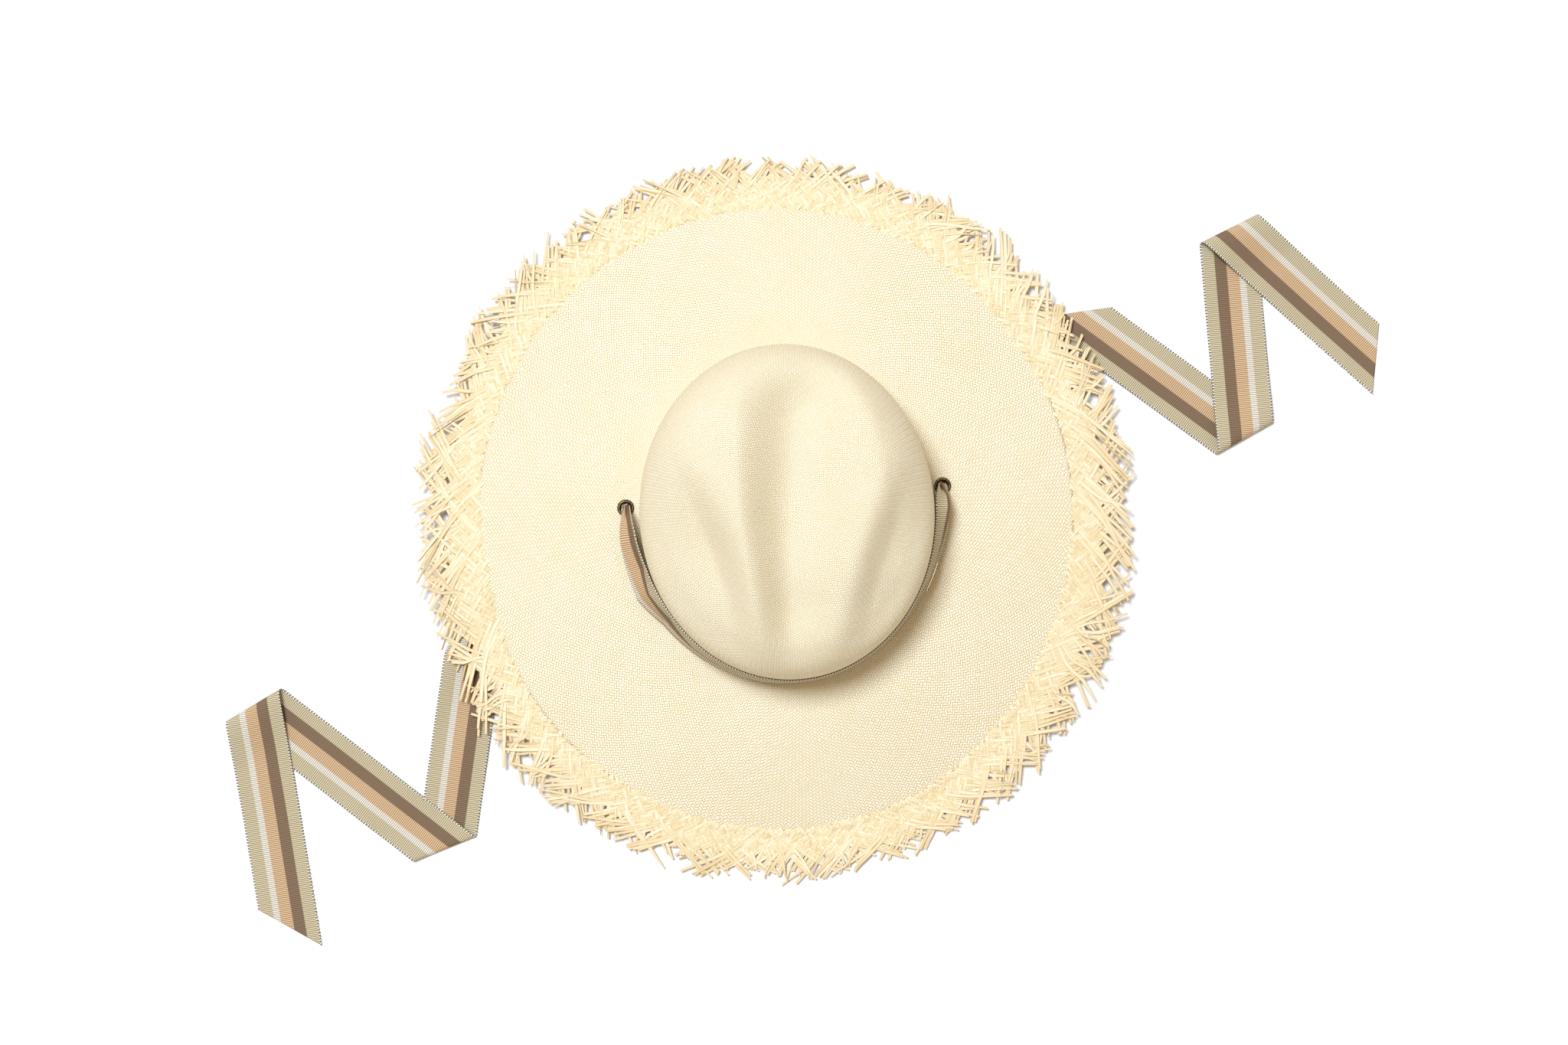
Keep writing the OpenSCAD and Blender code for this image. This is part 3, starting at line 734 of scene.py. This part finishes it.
SWEAT_H, SWEAT_T, AIR = 32.0, 1.2, 0.3
sweatband = start_piece("cotton_sweatband", "cylinder", vertices=144, radius=1, depth=2,
                        end_fill_type="NOTHING")
bpy.ops.object.mode_set(mode="EDIT")
for level in (-0.9, -0.8, -0.4, 0.0, 0.4, 0.8, 0.9):
    bpy.ops.mesh.select_all(action="SELECT")
    bpy.ops.mesh.bisect(plane_co=(0, 0, level), plane_no=(0, 0, 1))
bpy.ops.object.mode_set(mode="OBJECT")
points, _ = mesh_arrays(sweatband)
turn = np.arctan2(points[:, 1], points[:, 0])
z = -STRAW_T + 0.2 + (points[:, 2] + 1) / 2 * (SWEAT_H - 0.4)
x, y = crown_wall(turn, z, -STRAW_T - AIR - SWEAT_T / 2)
set_points(sweatband, np.column_stack([x, y, z]))
bpy.ops.object.shade_smooth()
apply_modifier(sweatband, "SOLIDIFY", thickness=(SWEAT_T - 0.1) * MM, offset=0, use_even_offset=True)
apply_modifier(sweatband, "BEVEL", width=0.3 * MM, segments=2, limit_method="ANGLE")
sweatband.data.materials.append(cotton_tape)
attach(sweatband, "hat")
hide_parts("sweatband")
print("sweatband:", len(sweatband.data.polygons), "faces")

# %% Stitches, modelled once and set round the band
STITCHES, STITCH_LEN, STITCH_Z = 72, 4.0, 2.0
one_stitch = start_piece("one_stitch", "uv_sphere", segments=8, ring_count=6, radius=0.5)
stitch_shape, stitch_faces = mesh_arrays(one_stitch)
bpy.data.objects.remove(one_stitch)
# The ball is turned to lie along X and drawn out, and its ends dip into the tape.
drawn_out = np.sign(stitch_shape[:, 2]) * np.abs(stitch_shape[:, 2] * 2) ** 0.6 / 2 * STITCH_LEN
stitch = np.column_stack([drawn_out, stitch_shape[:, 0] * 0.5, stitch_shape[:, 1] * 0.6])
stitch[:, 1] += 0.3 * (2 * stitch[:, 0] / STITCH_LEN) ** 2
stitches = []
for k in range(STITCHES):
    ends = np.array([k, k + 1]) / STITCHES * 2 * math.pi
    x, y = crown_wall(ends, np.array([STITCH_Z, STITCH_Z]), -STRAW_T - AIR - SWEAT_T)
    slope = math.atan2(y[1] - y[0], x[1] - x[0])
    c, s = math.cos(slope), math.sin(slope)
    inward = stitch[:, 1] + 0.12
    stitches.append(np.column_stack([x.mean() + c * stitch[:, 0] - s * inward,
                                     y.mean() + s * stitch[:, 0] + c * inward,
                                     STITCH_Z + stitch[:, 2]]) * MM)
thread, tree, surface = start_material("waxed_cotton_thread", 0.6, Sheen_Weight=0.2)
ply = add_node(tree, "ShaderNodeTexWave", {
    "Scale": 700.0, "Distortion": 0.5, "Vector": object_place(tree)}, bands_direction="DIAGONAL")
paint(tree, surface, blend_colours(tree, ply.outputs["Fac"], "#F7F3E8", "#DDD3BC"))
thread_stitches = piece_from_copies("sweatband_stitches_thread", stitches, stitch_faces, thread,
                                    rounded=True)
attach(thread_stitches, "hat")
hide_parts("sweatband_stitches")
print("stitches:", STITCHES)

# %% [markdown]
# ## Grosgrain ribbon
# Grosgrain is woven with thick weft threads, so it has fine ribs straight across, and a
# picot edge: the weft is left in tiny loops along both sides. Five stripes run along it.
# The ribbon's UV map is in millimetres, U along it and V across it, so the ribs and the
# stripes keep their true size however the ribbon is bent or folded.

# %% Ribbon material
RIBBON_W, RIBBON_T = 35.0, 0.6
STRIPES = [("sage", 8.05, "#DCCCA6"), ("brown", 7.0, "#7C5A3A"), ("peach", 7.35, "#E8BD8E"),
           ("cream", 3.85, "#FCF3E4"), ("sage", 8.75, "#DCCCA6")]
RIB = 1.15          # ribs are 0.9 mm apart, drawn slightly coarser so that they show
PICOT = 1.85

grosgrain, tree, surface = start_material("grosgrain_ribbon", 0.72)
place = uv_parts(tree, "ribbon")
ramp = add_node(tree, "ShaderNodeValToRGB", {"Fac": maths(tree, "DIVIDE", place.outputs["Y"], RIBBON_W)})
stops = ramp.color_ramp.elements
stops[0].position, stops[0].color = 0.0, hex_colour(STRIPES[0][2])
stops[1].position, stops[1].color = 1.0, hex_colour(STRIPES[-1][2])
edge = 0.0
for (_, wide, colour), (_, _, following) in zip(STRIPES, STRIPES[1:]):
    edge += wide
    stops.new((edge - 0.15) / RIBBON_W).color = hex_colour(colour)
    stops.new((edge + 0.15) / RIBBON_W).color = hex_colour(following)
flat_place = add_node(tree, "ShaderNodeUVMap", uv_map="ribbon").outputs["UV"]
wobble = add_node(tree, "ShaderNodeTexNoise", {"Scale": 0.35, "Detail": 2.0, "Vector": flat_place})
turns = maths(tree, "MULTIPLY_ADD", wobble.outputs["Fac"], 0.25, place.outputs["X"])
rib = maths(tree, "SINE", maths(tree, "MULTIPLY", turns, 2 * math.pi / RIB))
rib = maths(tree, "MULTIPLY_ADD", rib, 0.5, 0.5)
# Painted shade: the valleys between the ribs are darkened towards a dark brown.
valley = maths(tree, "MULTIPLY", maths(tree, "POWER", maths(tree, "SUBTRACT", 1.0, rib), 1.3), 0.8)
cloth = blend_colours(tree, valley, ramp.outputs["Color"], "#6B5238")
# Painted highlight: the crest of each rib is lightened towards white.
rib_highlight = maths(tree, "MULTIPLY", maths(tree, "POWER", rib, 4.0), 0.12)
cloth = blend_colours(tree, rib_highlight, cloth, "#FFFDF6")
from_middle = maths(tree, "ABSOLUTE", maths(tree, "SUBTRACT", place.outputs["Y"], RIBBON_W / 2))
from_edge = maths(tree, "SUBTRACT", RIBBON_W / 2, from_middle)
on_edge = maths(tree, "LESS_THAN", from_edge, 1.0)
loops = maths(tree, "SINE", maths(tree, "MULTIPLY", place.outputs["X"], 2 * math.pi / PICOT))
loop_dark = maths(tree, "MULTIPLY", on_edge, maths(tree, "LESS_THAN", loops, -0.1))
loop_pale = maths(tree, "MULTIPLY", on_edge, maths(tree, "GREATER_THAN", loops, 0.2))
cloth = blend_colours(tree, maths(tree, "MULTIPLY", loop_pale, 0.8), cloth, "#FBF7EC")
cloth = blend_colours(tree, maths(tree, "MULTIPLY", loop_dark, 0.85), cloth, "#6A5C45")
paint(tree, surface, cloth)
emboss(tree, surface, 0.7, 0.0003, rib)
print("ribbon material has", len(tree.nodes), "nodes")

# %% A strip of ribbon as a grid, ready to be bent
COLUMN_STEP = PICOT / 2
PLEATS = 4
THROAT = 0.15       # width in the hole, as a share of the flat ribbon

def ribbon_grid(name, length, rows):
    """A flat grid: returns the piece, and U (mm along) and V (mm across) of each vertex."""
    columns = 2 * round(length / COLUMN_STEP / 2)
    made = start_piece(name, "grid", x_subdivisions=columns, y_subdivisions=rows, size=2)
    flat, _ = mesh_arrays(made)
    along = (flat[:, 0] + 1) / 2 * length
    across = (flat[:, 1] + 1) / 2 * RIBBON_W
    # The picot edge: every second column of the two outer rows stands out a little.
    column = np.rint((flat[:, 0] + 1) / 2 * columns).astype(int)
    outer = np.abs(flat[:, 1]) > 0.999
    stands_out = np.where(column % 2 == 0, 0.3, -0.35)
    across = across + np.where(outer, np.sign(flat[:, 1]) * stands_out, 0)
    return made, along, across

def finish_ribbon(piece, points, along, across, thickness):
    """Puts the bent points into the grid, maps it in millimetres and gives it a thickness."""
    layer = piece.data.uv_layers[0]
    layer.name = "ribbon"
    layer.data.foreach_set("uv", np.column_stack([along, across])[corner_vertices(piece.data)].ravel())
    set_points(piece, points)
    bpy.ops.object.shade_smooth()
    apply_modifier(piece, "SOLIDIFY", thickness=thickness * MM, offset=0, use_even_offset=False)
    piece.data.materials.append(grosgrain)

def pleats(across, tight, amount):
    """A ribbon gathered into a hole: narrower by the share tight, and folded up and down
    so that its length across stays the same. Returns sideways place and height."""
    w = across - RIBBON_W / 2
    height = RIBBON_W / (4 * PLEATS) * np.sqrt(1 - tight ** 2) * amount
    return w * tight, height * np.sin(2 * math.pi * PLEATS * across / RIBBON_W)

print("a picot loop every", PICOT, "mm, and", PLEATS, "pleats in each eyelet")

# %% [markdown]
# ## The band round the crown
# Between the eyelets the ribbon stands on edge against the front of the crown. Its upper
# edge stays close to the straw while the lower edge swings out towards each eyelet, so
# more of its stripes show from above there. The shape is described as a maker would
# measure it: at a few stations round the crown, how far each stripe leans outwards.
# A stripe that leans out less is steeper, so its height follows from its width.

# %% Stations of the band
# direction in degrees: gap of the upper edge, then how far each stripe leans out, in mm
STATIONS = {
    186: (3.2, 1.0, 3.3, 6.0, 0.5, -4.0), 195: (1.5, 1.4, 2.6, 6.6, 1.6, -1.5),
    204: (0.7, 4.8, 1.6, 4.5, 2.4, 0.8), 215: (0.5, 1.9, 2.6, 1.2, 1.5, 1.5),
    228: (0.5, 3.3, 0.7, 0.5, 1.0, 1.5), 250: (0.5, 2.2, 0.4, 0.4, 0.5, 1.0),
    270: (0.5, 1.5, 0.3, 0.3, 0.3, 0.8), 300: (0.5, 1.2, 0.4, 0.3, 0.3, 0.4),
    327: (0.5, 1.5, 0.8, 0.5, 0.4, 0.7), 338: (0.5, 3.0, 0.2, 0.2, 0.4, 3.2),
    352: (0.5, 5.4, 2.0, 0.4, 0.2, 1.6), 358: (0.7, 7.2, 1.7, 0.2, 0.0, 0.2)}
first_station, last_station = min(STATIONS), max(STATIONS)

def crown_out(t):
    n = np.stack([CROWN_B * np.cos(t), CROWN_A * np.sin(t)], -1)
    return n / np.linalg.norm(n, axis=-1, keepdims=True)

def band_section(degrees, across):
    """Points of the ribbon on edge against the crown, for arrays of direction and width."""
    keys = sorted(STATIONS)
    values = np.array([STATIONS[k] for k in keys])
    leans = np.stack([np.interp(degrees, keys, values[:, i]) for i in range(6)], -1)
    widths = np.array([s[1] for s in STRIPES])
    edges = np.concatenate([[0], np.cumsum(widths)])
    drop = np.sqrt(widths ** 2 - leans[:, 1:] ** 2)
    out_at = np.cumsum(leans, 1)
    down_at = np.concatenate([np.zeros((len(degrees), 1)), np.cumsum(drop, 1)], 1)
    low = 1.0 + 0.3 * np.sin(np.radians(degrees) * 9)
    share = np.clip(across, 0, RIBBON_W)
    out = np.array([np.interp(s, edges, o) for s, o in zip(share, out_at)])
    down = np.array([np.interp(s, edges, d) for s, d in zip(share, down_at)])
    z = down_at[:, -1] - down + low
    t = np.radians(degrees)
    n = crown_out(t)
    top_x, top_y = crown_wall(t, down_at[:, -1] + low, 0)
    own_x, own_y = crown_wall(t, z, 0)
    own_gap = (own_x - top_x) * n[:, 0] + (own_y - top_y) * n[:, 1]
    out = np.maximum(out, own_gap + 0.45)
    return np.column_stack([top_x + n[:, 0] * out, top_y + n[:, 1] * out, z])

print("band from", first_station, "to", last_station, "degrees")

# %% Bend the band
def arc_lengths(start, end):
    degrees = np.linspace(start, end, 400)
    x, y = crown_wall(np.radians(degrees), np.full(400, 15.0), 3)
    return degrees, np.concatenate([[0], np.cumsum(np.hypot(np.diff(x), np.diff(y)))])

GATHER = 24.0       # length over which the band closes up into an eyelet, both sides
degrees_run, lengths_run = arc_lengths(first_station, last_station)
band_length = lengths_run[-1] + 2 * GATHER
band, along, across = ribbon_grid("ribbon_band_grosgrain", band_length, 48)
degrees = np.interp(along - GATHER, lengths_run, degrees_run)
points = band_section(degrees, across)
step = band_section(degrees + 0.5, across) - band_section(degrees - 0.5, across)
ahead = step / np.linalg.norm(step, axis=1, keepdims=True)

for side, past, sign in (("left", GATHER - along, -1), ("right", along - band_length + GATHER, 1)):
    e = np.clip(past / GATHER, 0, 1)[:, None]
    inside = past > 0
    place = np.array(EYELETS[side]) / MM
    sideways, folded = pleats(across, THROAT, 1.0)
    # The bunch is wide across the crown's outward direction, and its pleats lie along Y.
    flip = -1 if side == "left" else 1
    hole = np.column_stack([place[0] + flip * sideways, place[1] + folded * 0.9 - 0.2,
                            np.full(len(across), -0.5)])
    above = hole + np.array([0, 0, 8.5])
    leave = points + sign * ahead * GATHER * 0.42
    leave[:, 2] = np.maximum(leave[:, 2] - 1.5, 1.2)
    curve = ((1 - e) ** 3 * points + 3 * (1 - e) ** 2 * e * leave
             + 3 * (1 - e) * e ** 2 * above + e ** 3 * hole)
    points = np.where(inside[:, None], curve, points)

finish_ribbon(band, points, along, across, 0.45)
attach(band, "hat")
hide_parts("ribbon_band")
print("band:", round(band_length), "mm of ribbon,", len(band.data.polygons), "faces")

# %% [markdown]
# ## The metal bar and its rivets
# A slim brass bar, bright dipped to a pale gold, is riveted through the ribbon at the
# right front. It is a flat strip bent to the ribbon's curve, with softened edges. Each
# rivet is a short pin with a low round head.

# %% Pale gold
pale_gold, tree, surface = start_material("brushed_pale_gold_brass", 0.42, Metallic=1.0)
stretched = add_node(tree, "ShaderNodeMapping", {
    "Vector": object_place(tree), "Scale": (300, 300, 4000)}).outputs[0]
brushed = add_node(tree, "ShaderNodeTexNoise", {"Scale": 1.0, "Detail": 3.0, "Vector": stretched})
paint(tree, surface, blend_colours(tree, brushed.outputs["Fac"], "#FBEFCB", "#EBD6A2"))
tree.links.new(maths(tree, "MULTIPLY_ADD", brushed.outputs["Fac"], 0.2, 0.32), surface.inputs["Roughness"])
print("gold material has", len(tree.nodes), "nodes")

# %% The bar
BAR_FROM, BAR_LEN, BAR_H, BAR_T = -20.0, 18.0, 6.0, 0.8
bar_low, bar_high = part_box("metal_bar")
bar_middle_z = (bar_low.z + bar_high.z) / 2 / MM
bar_span = math.degrees(BAR_LEN / CROWN_B)

def over_band(degrees, out):
    """A point just outside the band at the bar's height."""
    t = np.radians(degrees)
    n = crown_out(t)
    near = np.clip(1 - np.abs(degrees + 360 - 365.0) / 60, 0, 1)
    stand = 1.5 + 7.5 * smooth(near)
    share = (bar_low.z / MM - 1.5) / RIBBON_W
    z = 36.5 - np.sqrt(RIBBON_W ** 2 - stand ** 2) * (1 - share)
    x, y = crown_wall(t, z, 0)
    reach = 0.4 + stand * (1 - share) + RIBBON_T + AIR + out
    return np.column_stack([x + n[:, 0] * reach, y + n[:, 1] * reach]), n

bar = cut_strip("pale_gold_bar", 24)
shape, _ = mesh_arrays(bar)
on_arc, n = over_band(BAR_FROM - bar_span * (shape[:, 0] + 0.5), (0.5 - shape[:, 1]) * BAR_T)
set_points(bar, np.column_stack([on_arc, bar_middle_z + shape[:, 2] * BAR_H]))
bpy.ops.object.mode_set(mode="EDIT")
bpy.ops.mesh.select_all(action="SELECT")
bpy.ops.mesh.normals_make_consistent(inside=False)
bpy.ops.object.mode_set(mode="OBJECT")
apply_modifier(bar, "BEVEL", width=0.25 * MM, segments=3, limit_method="ANGLE",
               angle_limit=math.radians(40))
bpy.ops.object.shade_smooth_by_angle(angle=math.radians(50))
bar.data.materials.append(pale_gold)
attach(bar, "hat")
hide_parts("metal_bar")
print("bar:", BAR_LEN, "by", BAR_H, "mm")

# %% Rivets
rivet_section = [(0.0, -0.9), (0.42, -0.9), (0.42, 0.02), (1.0, 0.02),
                 (0.95, 0.22), (0.78, 0.4), (0.5, 0.52), (0.0, 0.58)]
rivets = []
for share in (0.1, 0.9):
    on_arc, n = over_band(np.array([BAR_FROM - bar_span * share]), BAR_T + 0.03)
    rivet = spin_section("rivet", rivet_section, Vector((0, 0, 0)), aged_bronze, 24)
    rivet.rotation_euler = (0, math.pi / 2, math.atan2(n[0, 1], n[0, 0]))
    rivet.location = Vector((*on_arc[0], bar_middle_z)) * MM
    bpy.ops.object.transform_apply(location=True, rotation=True, scale=True)
    rivets.append(rivet)
for rivet in rivets:
    rivet.select_set(True)
bpy.context.view_layer.objects.active = rivets[0]
bpy.ops.object.join()
bar_rivets = bpy.context.object
bar_rivets.name = "round_head_rivets"
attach(bar_rivets, "hat")
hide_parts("bar_rivets")
print("bar and", len(rivets), "rivets")

# %% [markdown]
# ## The folded ties
# Under the brim each end of the ribbon leaves its eyelet in a tight bunch, opens out, and
# sinks to the table. Beyond the brim it is folded back on itself three times. Cloth can't
# stretch, so a tie is best made as a flat strip that is really folded: a fold is a mirror
# image about its crease, and close to the crease the strip runs round a small roll
# instead. After a fold it lies on top of the stretch before it, then sinks to the table.
# The stripes slant and swap sides at each fold by themselves, as on real ribbon.

# %% Folding a flat strip
# Each tie: where it is folded, in mm; the roll radius at each fold; and how its end is cut.
TIES = {
    "left": dict(folds=[(-189, -36), (-222, -190), (-333, -92), (-320, -231)], rolls=(2.5, 1.4, 3.4),
                 cut=(41, -27), v_sign=1),
    "right": dict(folds=[(181, 110), (282, 25), (280, 156), (365, 69)], rolls=(0.8, 2.6, 3.4),
                  cut=(7, 43), v_sign=-1)}
FAN = 60.0

def unit(v):
    return np.asarray(v, float) / np.linalg.norm(v)

print("ties fold at", {side: facts["folds"] for side, facts in TIES.items()})

# %% The fall from the eyelet to the table
def fall_to_table(s, level):
    """Path from the eyelet: (distance out, height) at each length s, with a curve down
    through the washer, a slope, and a soft landing on the table."""
    length = np.linspace(0, FAN + 20, 800)
    def heights(slope):
        tilt = 90 - (90 - slope) * smooth((length - 1.5) / 9) - slope * smooth((length - 30) / 48)
        a = np.radians(tilt)
        gap = length[1] - length[0]
        return np.cumsum(np.cos(a)) * gap, -0.9 - np.cumsum(np.sin(a)) * gap
    low, high = 5.0, 80.0
    for _ in range(40):
        middle = (low + high) / 2
        low, high = (middle, high) if heights(middle)[1][-1] > level else (low, middle)
    out, z = heights(middle)
    beyond = np.maximum(0, s - length[-1])
    return np.interp(s, length, out) + beyond, np.interp(s, length, z)

print("the ribbon opens out over", FAN, "mm")

# %% One soft fold
def fold_profile(roll, rest=1.3):
    """The side view of a fold: a stretch of ribbon turns over in a soft roll, slopes down
    onto the stretch below and comes to rest a little above it. Returns, for each length
    along the ribbon, how far across the crease it is and how high. Because both come from
    one curve of true length, the stripes bend over the fold as they do on real ribbon."""
    landing = 18 + 5 * roll
    length = np.arange(-2 * roll - 1, landing + 40, 0.1)
    turned = math.pi * smooth((length + 2 * roll) / (4 * roll))
    x = (length - 1.2 * roll) / landing
    slope = smooth(x / 0.35) * smooth((1 - x) / 0.45)
    low, high = 0.0, math.radians(80)
    for _ in range(30):
        tilt = (low + high) / 2
        rise = np.cumsum(np.sin(turned + tilt * slope)) * 0.1
        low, high = (tilt, high) if rise[-1] > rest else (low, tilt)
    across = length[0] + np.cumsum(np.cos(turned + tilt * slope)) * 0.1
    shift = (across[-1] + length[-1]) / 2
    rise = rise - rest * smooth((length - 38) / 30)
    return length - shift, across - shift, np.maximum(rise, 0)

print("a fold with a 3.4 mm roll stands", round(float(fold_profile(3.4)[2].max()), 1), "mm high")

# %% Both ties
def fold_tie(side, folds, rolls, cut, v_sign):
    place = np.array(EYELETS[side][:2]) / MM
    stops = [place] + [np.array(f, float) for f in folds]
    runs = [unit(b - a) for a, b in zip(stops, stops[1:])]
    legs = [np.linalg.norm(b - a) for a, b in zip(stops, stops[1:])]
    level = TABLE / MM + RIBBON_T / 2 + 0.05
    # The curve under the eyelet uses some length up, so the strip is cut that much longer.
    spare = (FAN + 20) - fall_to_table(np.array([FAN + 20.0]), level)[0][0]
    total = sum(legs) + spare
    piece, s, v = ribbon_grid(f"ribbon_tie_{side}_grosgrain", total, 36)
    w = v_sign * (v - RIBBON_W / 2)

    side_flat = np.array([-runs[0][1], runs[0][0]])
    side_last = side_flat
    for before, after in zip(runs, runs[1:]):
        crease = unit(before + after)
        side_last = 2 * crease * (side_last @ crease) - side_last
    # The slanting cut: how much longer or shorter the strip is at each place across.
    cut = unit(cut)
    across_cut = np.array([-cut[1], cut[0]])
    end_shift = -w * (side_last @ across_cut) / (runs[-1] @ across_cut)
    s = s + end_shift * smooth((s - total + 45) / 45)

    tight = THROAT + (1 - THROAT) * smooth((s - 4) / FAN)
    opened = smooth((s - 4) / FAN)
    sideways, folded = pleats(v, tight, 1 - 0.25 * opened)
    sideways = np.where(opened >= 1, w, v_sign * sideways)
    folded = np.where(opened >= 1, 0, folded)
    out, z = fall_to_table(s, level)
    tilt_out, tilt_z = fall_to_table(s + 0.5, level)
    along = np.column_stack([tilt_out - out, tilt_z - z])
    along /= np.linalg.norm(along, axis=1, keepdims=True)
    out = out - folded * along[:, 1] * (1 - opened)
    z = z + folded * along[:, 0]
    z = np.maximum(z, level)
    flat = place + runs[0] * out[:, None] + side_flat * sideways[:, None]

    # Cloth never lies quite flat: slow waves, more at the edges than in the middle.
    ripple = 0.35 * np.sin(s / 17 + 1.3) + 0.25 * np.sin(s / 7.3 + w / 9)
    z = z + smooth((s - 150) / 40) * (0.45 + ripple) * (0.35 + 0.65 * (w / 17.5) ** 2)
    for stop, before, after, roll in zip(stops[1:], runs, runs[1:], rolls):
        crease = unit(before + after)
        outward = unit(before - crease * (before @ crease))
        length, across_fold, rise = fold_profile(roll)
        d = (flat - stop) @ outward
        folded_over = np.interp(d, length, across_fold)
        folded_over = np.where(d > length[-1], -d, np.where(d < length[0], d, folded_over))
        flat = flat + outward * (folded_over - d)[:, None]
        z = z + np.interp(d, length, rise)
    finish_ribbon(piece, np.column_stack([flat, z]), s, v, 0.5)
    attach(piece, f"tie_{side}")
    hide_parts(f"ribbon_tie_{side}")
    print(f"{side} tie: {total:.0f} mm of ribbon, lowest point {z.min() - RIBBON_T / 2:.2f} mm")

for side, facts in TIES.items():
    fold_tie(side, **facts)
